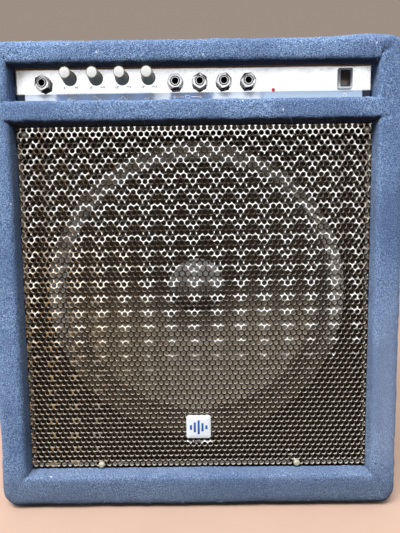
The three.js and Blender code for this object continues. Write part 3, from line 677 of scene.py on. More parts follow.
def loft_faces(count, size, closed=False):
    """Quads between `count` rings of `size` points; open lofts get two end faces."""
    faces = []
    for i in range(count if closed else count - 1):
        one, two = i * size, (i + 1) % count * size
        for k in range(size):
            n = (k + 1) % size
            faces.append((one + k, one + n, two + n, two + k))
    if not closed:
        faces += [tuple(range(size)), tuple(range((count - 1) * size, count * size))]
    return faces


def grid_ring(columns, rows):
    """Keys (column, row) once round the rim of a grid."""
    return ([(i, rows[0]) for i in columns] + [(columns[-1], j) for j in rows[1:]]
            + [(i, rows[-1]) for i in reversed(columns[:-1])]
            + [(columns[0], j) for j in reversed(rows[1:-1])])


def add_box(bm, xs, ys, zs):
    """Adds a box between three (low, high) pairs in millimetres; returns its vertices."""
    verts = bmesh.ops.create_cube(bm, size=1.0)["verts"]
    spans = [(low * MM, high * MM) for low, high in (xs, ys, zs)]
    for vert in verts:
        vert.co = Vector([(low + high) / 2 + c * (high - low)
                          for c, (low, high) in zip(vert.co, spans)])
    return verts


def bevel(bm, width, segments=2, edges=None, clamp=False):
    bmesh.ops.bevel(bm, geom=list(bm.edges) if edges is None else edges, offset=width * MM,
                    segments=segments, profile=0.5, affect="EDGES", clamp_overlap=clamp)


def edges_along_y(bm):
    return [e for e in bm.edges if abs(e.verts[0].co.y - e.verts[1].co.y) > 1e-5]


def box(name, xs, ys, zs, mat, round_by=0.0, segments=2, angle=35.0):
    bm = bmesh.new()
    add_box(bm, xs, ys, zs)
    if round_by:
        bevel(bm, round_by, segments)
    return from_bmesh(name, bm, mat, angle)


def hexagon(name, corner_r, depth, centre, round_by, mat, turn=0.0):
    """A hexagonal prism along Y."""
    bm = bmesh.new()
    bmesh.ops.create_cone(bm, cap_ends=True, segments=6, radius1=corner_r * MM,
                          radius2=corner_r * MM, depth=depth * MM)
    place = (Matrix.Translation([c * MM for c in centre]) @ Matrix.Rotation(turn, 4, "Y")
             @ Matrix.Rotation(math.pi / 2, 4, "X"))
    for vert in bm.verts:
        vert.co = place @ vert.co
    bevel(bm, round_by)
    return from_bmesh(name, bm, mat)


def discard(obj):
    mesh = obj.data
    bpy.data.objects.remove(obj)
    bpy.data.meshes.remove(mesh)


def join(name, parts):
    """Joins untransformed objects into one; materials are kept."""
    bm = bmesh.new()
    materials = []
    for part in parts:
        remap = []
        for material in part.data.materials:
            if material not in materials:
                materials.append(material)
            remap.append(materials.index(material))
        start = len(bm.faces)
        bm.from_mesh(part.data)
        bm.faces.ensure_lookup_table()
        for face in bm.faces[start:]:
            face.material_index = remap[face.material_index]
    mesh = bpy.data.meshes.new(name)
    bm.to_mesh(mesh)
    bm.free()
    for material in materials:
        mesh.materials.append(material)
    for part in parts:
        discard(part)
    return link_object(name, mesh)


def evaluated_mesh(obj):
    bpy.context.view_layer.update()
    graph = bpy.context.evaluated_depsgraph_get()
    return bpy.data.meshes.new_from_object(obj.evaluated_get(graph))


def apply_modifiers(obj):
    mesh = evaluated_mesh(obj)
    obj.modifiers.clear()
    old = obj.data
    obj.data = mesh
    bpy.data.meshes.remove(old)


def combine_solids(name, base, tools, operation="DIFFERENCE"):
    """Applies the tools to base as exact booleans, in turn, and discards them."""
    for tool in tools:
        modifier = base.modifiers.new("b", "BOOLEAN")
        modifier.operation = operation
        modifier.solver = "EXACT"
        modifier.use_self = True
        modifier.object = tool
    apply_modifiers(base)
    base.name = name
    base.data.name = name
    for tool in tools:
        discard(tool)
    shade(base)
    return base


def register(obj, slot, *replaced, body="root"):
    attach(obj, body)
    if replaced:
        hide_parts(*replaced)


def pan_screw(name, x, z, y_seat, radius_, head, shank, mat, turn, facing=-1):
    """Cross-recess pan head seated at y_seat, facing the front (-1) or the rear (+1)."""
    dome = [(radius_ * math.sin(a), y_seat + facing * (head * 0.35 + head * 0.65 * math.cos(a)))
            for a in np.linspace(0.25, math.pi / 2, 6)]
    neck = radius_ * 0.45
    profile = [(0, y_seat + facing * head)] + dome + [
        (radius_, y_seat), (neck, y_seat), (neck, y_seat - facing * shank),
        (0, y_seat - facing * (shank + 2))]
    screw = lathe(name + "_head", profile, (x, z), mat, seg=28)
    half_long, half_deep, half_wide = radius_ * 0.62, head * 0.55, radius_ * 0.14
    bm = bmesh.new()
    for angle in (turn, turn + math.pi / 2):
        spin = Matrix.Rotation(angle, 4, "Y")
        for vert in add_box(bm, (-half_long, half_long), (-half_deep, half_deep),
                            (-half_wide, half_wide)):
            taper = 1.0 if vert.co.y * facing > 0 else 0.35
            vert.co = spin @ Vector((vert.co.x * taper, vert.co.y, vert.co.z))
            vert.co += Vector((x * MM, (y_seat + facing * head * 0.98) * MM, z * MM))
    return combine_solids(name, screw, [from_bmesh(name + "_cross", bm, mat)])


# ------------------------------------------------------------------ carpet
FLAT_X = SHELL_X - EDGE_R                            # half width of the flat front
FLAT_Z0, FLAT_Z1 = SHELL_Z0 + EDGE_R, SHELL_Z1 - EDGE_R
FLAT_R = CORNER_R - EDGE_R                           # its corner radius
OPENINGS = (                                         # z low, z high, y where the edge ends
    (GRILLE_Z0, GRILLE_Z1, -118.0),
    (PANEL_Z0, PANEL_Z1, -106.0),
)
GRID_STEP = 4.0
FINE_OFFSETS = (0.3, 1.0, 2.1, 3.4, 5.3)             # close lines across a rolled edge


def grid_lines(cuts, fine):
    """Sorted grid lines through all cuts, with close ones on the given side of the fine cuts."""
    points = sorted(set(cuts) | {cut + side * d for cut, side in fine for d in FINE_OFFSETS})
    out = [points[0]]
    for start, end in zip(points, points[1:]):
        n = max(1, int(round((end - start) / GRID_STEP)))
        out += [start + (end - start) * k / n for k in range(1, n)] + [end]
    return out


def corner_centre(x, z):
    """The nearest point of the front inset by its corner radius."""
    return (min(max(x, -FLAT_X + FLAT_R), FLAT_X - FLAT_R),
            min(max(z, FLAT_Z0 + FLAT_R), FLAT_Z1 - FLAT_R))


def round_corner(x, z):
    """Maps the square corners of the flat front to round ones."""
    mid_x, mid_z = corner_centre(x, z)
    across, up = (x - mid_x) / FLAT_R, (z - mid_z) / FLAT_R
    if across == 0 or up == 0:
        return x, z
    return (mid_x + FLAT_R * across * math.sqrt(1 - up * up / 2),
            mid_z + FLAT_R * up * math.sqrt(1 - across * across / 2))


def in_opening(x, z):
    return any(abs(x) < OPEN_X and low < z < high for low, high, _ in OPENINGS)


def add_strip(verts, faces, before, points, outside):
    """Adds a ring of points and the quads that join it to the ring before."""
    ring = list(range(len(verts), len(verts) + len(points)))
    verts += points
    for k in range(len(ring)):
        n = (k + 1) % len(ring)
        if outside:
            faces.append((before[n], before[k], ring[k], ring[n]))
        else:
            faces.append((before[k], before[n], ring[n], ring[k]))
    return ring


def carpet_front(verts, faces, xs, zs):
    """The flat front, rolled back towards both openings; returns vertex numbers by grid key."""
    grid = {}
    for i, x in enumerate(xs):
        for j, z in enumerate(zs):
            if in_opening(x, z):
                continue
            gap = min(math.hypot(max(abs(x) - OPEN_X, 0), max(low - z, 0, z - high))
                      for low, high, _ in OPENINGS)
            y = -SHELL_Y
            if gap < MOUTH_R:
                y += MOUTH_R - math.sqrt(max(0.0, MOUTH_R ** 2 - (MOUTH_R - gap) ** 2))
            flat_x, flat_z = round_corner(x, z)
            grid[i, j] = len(verts)
            verts.append((flat_x, y, flat_z))
    for i in range(len(xs) - 1):
        for j in range(len(zs) - 1):
            if not in_opening((xs[i] + xs[i + 1]) / 2, (zs[j] + zs[j + 1]) / 2):
                faces.append((grid[i, j], grid[i + 1, j], grid[i + 1, j + 1], grid[i, j + 1]))
    return grid


def carpet_turned_edges(verts, faces, grid, xs, zs):
    """The cloth turned in round each opening."""
    slack = 1e-6
    start = -SHELL_Y + MOUTH_R
    for low, high, back in OPENINGS:
        columns = [i for i, x in enumerate(xs) if abs(x) <= OPEN_X + slack]
        rows = [j for j, z in enumerate(zs) if low - slack <= z <= high + slack]
        ring = [grid[key] for key in grid_ring(columns, rows)]
        n = max(2, int(round((back - start) / 3.2)))
        for s in range(1, n + 1):
            y = start + (back - start) * s / n
            points = [(verts[k][0], y, verts[k][2]) for k in ring]
            ring = add_strip(verts, faces, ring, points, outside=False)


def carpet_sides(verts, faces, ring):
    """Sides from the rim of the flat front to the rear, then the lip round the rear opening."""
    front = [verts[k] for k in ring]
    outward = []
    for x, _, z in front:
        mid_x, mid_z = corner_centre(x, z)
        outward.append(Vector((x - mid_x, z - mid_z)).normalized())
    quarter = [math.pi / 2 * s / 4 for s in range(1, 5)]
    depth = 2 * SHELL_Y - 2 * EDGE_R
    n = int(round(depth / 4.4))
    # stations: distance outward from the rim of the flat front, y
    stations = [(EDGE_R * math.sin(a), -SHELL_Y + EDGE_R * (1 - math.cos(a))) for a in quarter]
    stations += [(EDGE_R, -SHELL_Y + EDGE_R + depth * s / n) for s in range(1, n + 1)]
    stations += [(EDGE_R * math.cos(a), SHELL_Y - EDGE_R * (1 - math.sin(a))) for a in quarter]
    for reach, y in stations:
        points = [(p[0] + d.x * reach, y, p[2] + d.y * reach) for p, d in zip(front, outward)]
        ring = add_strip(verts, faces, ring, points, outside=True)
    rear = [verts[k] for k in ring]
    for s in range(1, 4):
        points = []
        for x, _, z in rear:
            lip_x = min(max(x, -192.0), 192.0)
            lip_z = min(max(z, 34.5), 482.2)
            points.append((x + (lip_x - x) * s / 3, SHELL_Y, z + (lip_z - z) * s / 3))
        ring = add_strip(verts, faces, ring, points, outside=True)
    points = [(verts[k][0], 138.5, verts[k][2]) for k in ring]
    add_strip(verts, faces, ring, points, outside=True)


def fractal(x, y, z, scale, octaves):
    return cloth_noise.fractal(Vector((x * scale, y * scale, z * scale)), 1.0, 2.0, octaves)


def bell(offset, width):
    return math.exp(-(offset / width) ** 2)


def pile_height(x, y, z):
    """Pile and the slack of the glued sheet, fuller over the top right corner."""
    height = (0.42 * fractal(x, y, z, 0.16, 3) + 0.55 * fractal(x + 40, y, z, 0.022, 2)
              + 0.25 * fractal(x, y + 9, z, 0.5, 2))
    if z > 484 and x > 120 and y < -60:
        height += 2.2 * bell(x - 178, 34) * bell(y + 140, 40)
    return height


def seam_depth(x, z):
    """Mitred seams across the front corners, and tucked folds at the ends of the middle rail."""
    depth = 0.0
    for side in (-1, 1):
        for open_z, outer_z in ((PANEL_Z1, SHELL_Z1), (GRILLE_Z0, SHELL_Z0)):
            from_x, run_x, run_z = side * OPEN_X, side * (214.0 - OPEN_X), outer_z - open_z
            length = math.hypot(run_x, run_z)
            along = ((x - from_x) * run_x + (z - open_z) * run_z) / length / length
            if 0.0 < along < 1.05:
                away = abs((x - from_x) * run_z - (z - open_z) * run_x) / length
                wobble = 0.8 * fractal(x, 0, z, 0.12, 2)
                deep = 1.5 if (side, open_z) == (1, PANEL_Z1) else 0.8
                depth += deep * bell(away - wobble, 1.6)
        for rail_z, slope in ((GRILLE_Z1, 0.35), (PANEL_Z0, -0.35)):
            out_x, up = (x - side * OPEN_X) * side, z - rail_z
            if -16 < out_x < 14 and abs(up) < 9:
                depth += bell(up - slope * out_x, 1.8) * bell(out_x, 9)
    return depth


def cloth_rise(x, y, z):
    """Upward shift of the cloth; sags are negative."""
    rise = 0.0
    # the turned-in edge at the foot of the grille opening
    if y < -119 and abs(z - GRILLE_Z0) < 0.8:
        if abs(x) < OPEN_X:
            rise -= 0.9 * bell(OPEN_X - abs(x), 9.0)
        rise += 0.35 * fractal(x, 0, 3, 0.03, 2)
    # the roll under the top rail is fuller
    if y < -126 and abs(x) < OPEN_X + 0.5 and PANEL_Z1 - 0.8 < z < PANEL_Z1 + 12:
        t = min(1.0, max(0.0, (z - PANEL_Z1) / 12))
        rise -= 5.0 * (1 - t * t * (3 - 2 * t)) * min(1.0, (-126 - y) / 8)
    # the lower front edge hangs a little
    if z < 20 and y < -120:
        rise -= 2.0 * min(1.0, (20 - z) / 12) * min(1.0, (-120 - y) / 10)
    return rise


def vertex_array(mesh, key):
    values = np.zeros(len(mesh.vertices) * 3)
    mesh.vertices.foreach_get(key, values)
    return values.reshape(-1, 3)


def make_carpet():
    xs = grid_lines([-FLAT_X, -FLAT_X + FLAT_R, -OPEN_X, OPEN_X, FLAT_X - FLAT_R, FLAT_X],
                    fine=[(-OPEN_X, -1), (OPEN_X, 1)])
    zs = grid_lines([FLAT_Z0, FLAT_Z0 + FLAT_R, GRILLE_Z0, GRILLE_Z1, PANEL_Z0, PANEL_Z1,
                     FLAT_Z1 - FLAT_R, FLAT_Z1],
                    fine=[(GRILLE_Z0, -1), (GRILLE_Z1, 1), (PANEL_Z0, -1), (PANEL_Z1, 1)])
    verts, faces = [], []
    grid = carpet_front(verts, faces, xs, zs)
    carpet_turned_edges(verts, faces, grid, xs, zs)
    rim = grid_ring(range(len(xs)), range(len(zs)))
    carpet_sides(verts, faces, [grid[key] for key in rim])
    wrap = from_points("carpet_wrap", verts, faces, "carpet_blue")
    mesh = wrap.data
    places = vertex_array(mesh, "co") * 1000
    normals = vertex_array(mesh, "normal")
    # the front must face -Y for the pile to stand outwards
    if (normals[:, 1] * (places[:, 1] < -144)).sum() > 0:
        normals = -normals
    moved = places.copy()
    for k, (x, y, z) in enumerate(places):
        moved[k] += normals[k] * pile_height(x, y, z)
        if y < -138:
            moved[k, 1] += seam_depth(x, z)
        moved[k, 2] += cloth_rise(x, y, z)
    mesh.vertices.foreach_set("co", (moved / 1000).ravel())
    mesh.update()
    solidify = wrap.modifiers.new("thickness", "SOLIDIFY")
    solidify.thickness = 0.0032
    solidify.offset = -1.0
    apply_modifiers(wrap)
    shade(wrap, 60)
    register(wrap, "carpet", "carpet_cover")
    wrap.visible_glossy = False
    return wrap


def fibre_roots(rng, mesh, count):
    """Random places and normals on the outer faces, mostly on the front and the rims."""
    mesh.calc_loop_triangles()
    places = vertex_array(mesh, "co") * 1000
    corners = np.zeros(len(mesh.loop_triangles) * 3, int)
    mesh.loop_triangles.foreach_get("vertices", corners)
    first, second, third = (places[column] for column in corners.reshape(-1, 3).T)
    normals = np.cross(second - first, third - first)
    areas = np.linalg.norm(normals, axis=1)
    normals = normals / np.maximum(areas, 1e-9)[:, None]
    middle = (first + second + third) / 3
    cabinet_middle = np.array([0.0, 0.0, (SHELL_Z0 + SHELL_Z1) / 2])
    outer = ((middle - cabinet_middle) * normals).sum(1) > 0
    rim = ((np.abs(middle[:, 1]) > 144.0) | (np.abs(middle[:, 0]) > SHELL_X - 1.5)
           | (middle[:, 2] > SHELL_Z1 - 1.5) | (middle[:, 2] < SHELL_Z0 + 12))
    front = middle[:, 1] < -132
    weight = (areas * outer * np.where(front, 1.0, 0.35) * (middle[:, 2] > SHELL_Z0 + 2.0)
              * (rim | front))
    pick = rng.choice(len(weight), size=count, p=weight / weight.sum())
    u, v = rng.random(count), rng.random(count)
    flip = u + v > 1
    u[flip], v[flip] = 1 - u[flip], 1 - v[flip]
    roots = (first[pick] + (second - first)[pick] * u[:, None]
             + (third - first)[pick] * v[:, None])
    return roots, normals[pick]


def make_fibres(wrap):
    """Loose fibres that stand off the carpet: short bent spikes, three-sided and closed."""
    rng = np.random.default_rng(15)
    verts, faces = [], []
    for root, normal in zip(*fibre_roots(rng, wrap.data, count=6500)):
        lean = rng.normal(size=3)
        lean -= normal * (lean @ normal)
        lean /= np.linalg.norm(lean)
        side = np.cross(normal, lean)
        is_long = rng.random() < 0.06
        length = rng.uniform(5.0, 9.0) if is_long else rng.uniform(1.6, 4.2)
        thick = 0.11 if is_long else rng.uniform(0.10, 0.17)
        lift = rng.uniform(0.12, 0.35) if is_long else rng.uniform(0.25, 0.9)
        foot = root - normal * 0.5
        bend = root + (lean * 0.55 + normal * lift * 0.55) * length
        tip = bend + (lean * 0.45 + side * rng.uniform(-0.5, 0.5)
                      + normal * rng.uniform(-0.25, 0.25)) * length * 0.6
        k = len(verts)
        for centre, reach in ((foot, thick), (bend, thick * 0.8)):
            for a in (0.0, 2.094, 4.189):
                verts.append(tuple(centre + reach * (math.cos(a) * side + math.sin(a) * normal)))
        verts.append(tuple(tip))
        faces += [(k, k + 2, k + 1), (k, k + 1, k + 4, k + 3), (k + 1, k + 2, k + 5, k + 4),
                  (k + 2, k, k + 3, k + 5), (k + 3, k + 4, k + 6), (k + 4, k + 5, k + 6),
                  (k + 5, k + 3, k + 6)]
    register(from_points("carpet_fibres", verts, faces, "fibre_pale", fix=False), "carpet")


# ------------------------------------------------------------------ grille
HOLE_SIDES = 12
# neighbours at 0, 60 and 120 degrees: row step, column step from an even and from an odd row
NEIGHBOURS = ((0, 1, 1), (1, 0, 1), (1, -1, 0))


def neighbour(key, direction):
    row, column = key
    step, even, odd = NEIGHBOURS[direction]
    return row + step, column + (odd if row % 2 else even)


def hole_edge(direction):
    """The two corners of the hole's side that faces 60 * direction degrees."""
    return (2 * direction + 11) % 12, (2 * direction) % 12


def hole_centres():
    columns = int(SHEET_X / PITCH) + 3
    rows = int(200 / ROW)
    centres = {}
    for row in range(-rows, rows + 1):
        shift = PITCH / 2 if row % 2 else 0.0
        for column in range(-columns - 1, columns + 1):
            x, z = HOLE_X + column * PITCH + shift, HOLE_Z + row * ROW
            if abs(x) <= SHEET_X + PITCH and SHEET_Z0 - ROW <= z <= SHEET_Z1 + ROW:
                centres[row, column] = (x, z)
    return centres


def web_faces(rings):
    """The webs between holes, and the field enclosed by each three holes."""
    faces = []
    for key, ring in rings.items():
        for d in (0, 1, 2):
            other = rings.get(neighbour(key, d))
            if other:
                start, end = hole_edge(d)
                far_start, far_end = hole_edge((d + 3) % 6)
                faces.append((ring[start], other[far_end], other[far_start], ring[end]))
        for d in (0, 1):
            one, two = rings.get(neighbour(key, d)), rings.get(neighbour(key, d + 1))
            if one and two:
                faces.append((
                    ring[hole_edge(d)[1]],
                    one[hole_edge((d + 3) % 6)[0]], one[hole_edge((d + 2) % 6)[1]],
                    two[hole_edge((d + 5) % 6)[0]], two[hole_edge((d + 4) % 6)[1]],
                    ring[hole_edge(d + 1)[0]]))
    return faces


def punched_mesh():
    """Points and faces of the sheet, before it is trimmed to its outline."""
    half_side = math.pi / HOLE_SIDES
    reach = HOLE_R / math.cos(half_side)
    corners = [(reach * math.cos(half_side + k * 2 * half_side),
                reach * math.sin(half_side + k * 2 * half_side)) for k in range(HOLE_SIDES)]
    verts, faces = [], []
    front, back = {}, {}
    for key, (x, z) in hole_centres().items():
        for rings, y in ((front, SHEET_Y), (back, SHEET_Y + SHEET_THICK)):
            rings[key] = list(range(len(verts), len(verts) + HOLE_SIDES))
            verts += [(x + dx, y, z + dz) for dx, dz in corners]
        near, far = front[key], back[key]
        for k in range(HOLE_SIDES):
            n = (k + 1) % HOLE_SIDES
            faces.append((near[k], near[n], far[n], far[k]))
    # web by web, front before back for each hole
    return verts, faces + web_faces(front) + [face[::-1] for face in web_faces(back)]


def trim_sheet(sheet):
    """Cuts the sheet to its outline and closes the cut ends of the webs."""
    bm = bmesh.new()
    bm.from_mesh(sheet.data)
    bmesh.ops.remove_doubles(bm, verts=bm.verts, dist=1e-7)
    for place, outward in (((SHEET_X, 0, 0), (1, 0, 0)), ((-SHEET_X, 0, 0), (-1, 0, 0)),
                           ((0, 0, SHEET_Z1), (0, 0, 1)), ((0, 0, SHEET_Z0), (0, 0, -1))):
        bmesh.ops.bisect_plane(bm, geom=list(bm.verts) + list(bm.edges) + list(bm.faces),
                               dist=1e-7, plane_co=Vector(place) * MM,
                               plane_no=Vector(outward), clear_outer=True)
    bmesh.ops.holes_fill(bm, edges=[e for e in bm.edges if e.is_boundary], sides=0)
    bm.to_mesh(sheet.data)
    bm.free()


def make_grille():
    """A punched sheet with an edge folded back behind it."""
    verts, faces = punched_mesh()
    sheet = from_points("grille_perforated", verts, faces, "grille_gloss_black", fix=False)
    trim_sheet(sheet)
    near, far = SHEET_Y + SHEET_THICK * 0.5, SHEET_Y + 9.6
    verts = []
    for inset, y in ((0, near), (0, far), (SHEET_THICK, far), (SHEET_THICK, near)):
        x, low, high = SHEET_X - inset, SHEET_Z0 + inset, SHEET_Z1 - inset
        verts += [(-x, y, low), (x, y, low), (x, y, high), (-x, y, high)]
    fold = from_points("fold", verts, loft_faces(4, 4, closed=True), "grille_gloss_black",
                       fix=False)
    grille = join("grille_perforated", [sheet, fold])
    fix_normals(grille)
    grille.data.polygons.foreach_set("use_smooth", [False] * len(grille.data.polygons))
    register(grille, "grille_black", "grille_sheet")


def make_grille_screws():
    spots = ((-178.7, 407.5), (182.2, 408.3), (-108.7, 43.2), (110.8, 43.4))   # x, z
    for i, (x, z) in enumerate(spots, 1):
        screw = pan_screw(f"grille_screw_{i}_pan", x, z, y_seat=-128.3, radius_=3.6, head=2.6,
                          shank=25, mat="screw_zinc", turn=0.35 * i)
        register(screw, "zinc_screw", f"grille_screw_{i}")


# ------------------------------------------------------------------ loudspeaker
# Profiles are (radius, y).
def sheet_profile(line, thick):
    return [(r, y - thick / 2) for r, y in line] + [(r, y + thick / 2) for r, y in reversed(line)]


def make_cone(centre):
    """Cone with three moulded rings."""
    line = []
    for k in range(41):
        t = k / 40
        r = 142.5 - 109.6 * t
        ripple = sum(0.9 * bell(r - ring_r, 2.2) for ring_r in (122.0, 104.0, 86.0))
        line.append((r, -83.7 + 58.6 * (t ** 0.92) - ripple))
    cone = lathe("cone_ribbed", sheet_profile(line, 1.0), centre, "cone_paper", 96, 50)
    register(cone, "cone_paper", "speaker_cone", body="cone")


def make_surround(centre):
    line = [(186.8, -89.75), (158.2, -89.75)]
    for k in range(1, 24):
        t = k / 24
        line.append((158.2 - (158.2 - 145.0) * t,
                     -89.6 + 5.2 * t + 1.6 * math.sin(t * math.pi * 4)))
    line += [(144.6, -84.4), (143.0, -84.4)]
    surround = lathe("surround_rolled", sheet_profile(line, 0.6), centre, "surround_cloth", 96, 60)
    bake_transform(surround)
    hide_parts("surround")


def make_spider(centre):
    """Rolled cloth disc behind the cone."""
    line = [(94.0, -11.1), (78.5, -11.1)]
    for k in range(1, 40):
        t = k / 40
        line.append((78.5 - 41.5 * t, -11.2 - 5.6 * t + 1.9 * math.sin(t * math.pi * 9)))
    line += [(36.6, -17.1), (33.0, -17.1)]
    spider = lathe("spider_rolled", sheet_profile(line, 0.6), centre, "spider_cloth", 72, 60)
    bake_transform(spider)
    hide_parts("spider")


def make_dust_cap(centre):
    dome = [(36.0 * q, -40.7 + 12.4 * q ** 2.1) for q in np.linspace(0.1, 1.0, 12)]
    inner = [(r - 0.6 if r > 34 else r, y + 0.9) for r, y in reversed(dome)]
    profile = [(0, -40.7)] + dome + [(36.3, -27.7)] + inner + [(0, -39.8)]
    cap = lathe("dust_cap_domed", profile, centre, "cap_paper", 72, 60)
    register(cap, "cap_paper", "dust_cap", body="cone")


def make_gasket(centre):
    profile = [(158.5, -90.45), (158.5, -92.9), (159.2, -93.4), (186.4, -93.4),
               (187.0, -92.9), (187.0, -90.45)]
    gasket = lathe("gasket_paper_ring", profile, centre, "gasket_paper", 128, 40)
    register(gasket, "gasket_paper", "gasket_ring")


def make_speaker_bolts():
    """Eight nuts and stud ends behind the frame's flange."""
    stud_profile = [(0, -84.6), (2.4, -84.6), (2.4, -79.4), (2.0, -78.9), (0, -78.9)]
    circle_r = 182.3
    bolts = []
    for k in range(8):
        a = math.pi / 8 + k * math.pi / 4
        x, z = SPEAKER_X + circle_r * math.cos(a), SPEAKER_Z + circle_r * math.sin(a)
        nut = hexagon("nut", 4.6, 3.2, (x, -85.1, z), 0.3, "nut_nickel")
        stud = lathe("stud", stud_profile, (x, z), "bush_nickel", 20)
        bolts.append(combine_solids(f"bolt_{k}", nut, [stud], "UNION"))
    joined = join("speaker_bolts", bolts)
    shade(joined)
    register(joined, "zinc_screw")


def make_speaker():
    centre = (SPEAKER_X, SPEAKER_Z)
    make_cone(centre)
    make_surround(centre)
    make_spider(centre)
    make_dust_cap(centre)
    make_gasket(centre)
    make_speaker_bolts()


# ------------------------------------------------------------------ control panel
def make_knob(name, x):
    body = f"{name}_knob"
    tip, back = -145.0, PANEL_Y - 1.3
    shoulder = tip + 0.8
    skirt = back - 3.4
    steps = 7
    profile = [(0, tip + 0.75), (5.32, tip + 0.75), (5.36, tip + 0.05), (5.55, tip + 0.05),
               (5.72, tip + 0.25), (5.8, shoulder)]
    first_fluted = len(profile) - 1
    profile += [(5.8 + (6.85 - 5.8) * (k / steps) ** 1.15,
                 shoulder + (skirt - shoulder) * k / steps) for k in range(1, steps + 1)]
    profile += [(7.0, back - 2.8), (7.35, back - 2.2), (7.4, back - 0.4), (7.2, back),
                (5.0, back), (5.0, back - 4), (2.6, back - 4), (2.6, PANEL_Y + 11.9),
                (0, PANEL_Y + 11.9)]

    def flutes(i, turn):
        if first_fluted <= i <= first_fluted + steps:
            return 1.0 - 0.03 * (0.5 + 0.5 * math.cos(24 * turn)) ** 2
        return 1.0

    knob = lathe(f"{name}_knob_body", profile, (x, KNOB_Z), "knob_charcoal", 144, 38, flutes)
    register(knob, "knob_grey", body, body=body)
    cap_profile = [(0, tip + 0.12), (4.0, tip + 0.1), (5.05, tip + 0.08), (5.25, tip + 0.3),
                   (5.25, tip + 0.72), (0, tip + 0.72)]
    cap = lathe(f"{name}_knob_cap", cap_profile, (x, KNOB_Z), "knob_cap_aluminium", 64, 45)
    register(cap, "knob_grey", body=body)
    # pointer: a moulded ridge down the upper side of the knob
    start, end = tip + 1.2, back - 0.6
    bm = bmesh.new()
    for vert in add_box(bm, (-0.4, 0.4), (start, end), (0, 1.0)):
        t = (vert.co.y / MM - start) / (end - start)
        surface_r = 5.5 + (6.95 - 5.5) * t
        vert.co = Vector((vert.co.x + x * MM, vert.co.y,
                          (KNOB_Z + surface_r + vert.co.z / MM * 0.62) * MM))
    bevel(bm, 0.12)
    pointer = from_bmesh(f"{name}_knob_pointer", bm, "pointer_white")
    register(pointer, "knob_grey", body=body)
    for piece in (knob, cap, pointer):
        piece.visible_glossy = False


NUT_FLATS = 14.3    # width across the flats
NUT_TURNS = {"input": 0.12, "effects_send": 0.48, "effects_return": 0.02, "line_out": 0.30,
             "headphone": 0.44}


def make_jack(name, x):
    centre = (x, JACK_Z)
    front = PANEL_Y - 7.0
    # threaded bush
    profile = [(3.3, front + 0.3), (3.42, front), (4.12, front), (4.25, front + 0.2)]
    for k in range(9):
        y = front + 0.5 + k * 0.75
        profile += [(4.3, y), (4.1, y + 0.37)]
    profile += [(4.3, PANEL_Y + 2.9), (3.3, PANEL_Y + 2.9)]
    bush = lathe(f"{name}_bush", profile, centre, "bush_nickel_ring", 48, 45)
    register(bush, "nut_nickel")

    def rod(label, r, y0, y1):
        return lathe(label, [(0, y0), (r, y0), (r, y1), (0, y1)], centre, "jack_black", 48)

    # black housing behind the panel, its sleeve inside the bush, and the bore
    socket = box(f"{name}_socket", (x - 8, x + 8), (PANEL_Y + 3.2, PANEL_Y + 26.5),
                 (JACK_Z - 8, JACK_Z + 8), "jack_black", 0.8)
    sleeve = rod("sleeve", 3.28, front + 0.35, PANEL_Y + 3.4)
    bore = rod("bore", 3.1, front - 2, PANEL_Y + 24.5)
    socket = combine_solids(f"{name}_socket", socket, [sleeve], "UNION")
    socket = combine_solids(f"{name}_socket", socket, [bore])
    register(socket, "jack_plastic", f"{name}_jack")
    make_dress_nut(name, centre)


def make_dress_nut(name, centre):
    """Hexagon with a turned face, on a round flange."""
    x, z = centre

    def turned(label, profile, seg):
        points = [(r, PANEL_Y + offset) for r, offset in profile]
        return lathe(label, points, centre, "nut_dress_nickel", seg)

    flange = turned("flange", [(5.0, -0.3), (8.35, -0.3), (8.5, -0.5), (8.5, -1.1),
                               (8.2, -1.4), (5.0, -1.4)], 72)
    nut = hexagon("hexagon", NUT_FLATS / math.sqrt(3), 5.3, (x, PANEL_Y - 3.95, z), 0.16,
                  "nut_dress_nickel", turn=NUT_TURNS[name])
    chamfer = turned("chamfer", [(0, -7.5), (7.7, -7.5), (7.7, -6.7), (8.6, -6.1),
                                 (8.6, -1.0), (0, -1.0)], 72)
    nut = combine_solids("hexagon", nut, [chamfer], "INTERSECT")
    bore = turned("nut_bore", [(0, -9), (5.1, -9), (5.1, -6.5), (5.0, -6.3), (5.0, 1), (0, 1)],
                  56)
    nut = combine_solids("hexagon", nut, [flange], "UNION")
    nut = combine_solids(f"{name}_dress_nut", nut, [bore])
    shade(nut, 28)
    register(nut, "nut_nickel", f"{name}_nut")


PRINT_Y = PANEL_Y - 0.02


def text_mesh(body, x, z):
    """Grey print on the panel."""
    curve = bpy.data.curves.new("text", "FONT")
    curve.body = body
    curve.size = 3.0 * MM
    curve.align_x = "CENTER"
    curve.align_y = "CENTER"
    curve.extrude = 0.02 * MM
    curve.offset = 0.1 * MM
    curve.resolution_u = 3
    flat = link_object("text", curve)
    mesh = evaluated_mesh(flat)
    mesh.transform(Matrix.Translation((x * MM, PRINT_Y * MM, z * MM))
                   @ Matrix.Rotation(math.pi / 2, 4, "X"))
    bpy.data.objects.remove(flat)
    bpy.data.curves.remove(curve)
    mesh.materials.clear()
    mesh.materials.append(MATERIALS["print_grey"])
    return link_object("text_mesh", mesh)


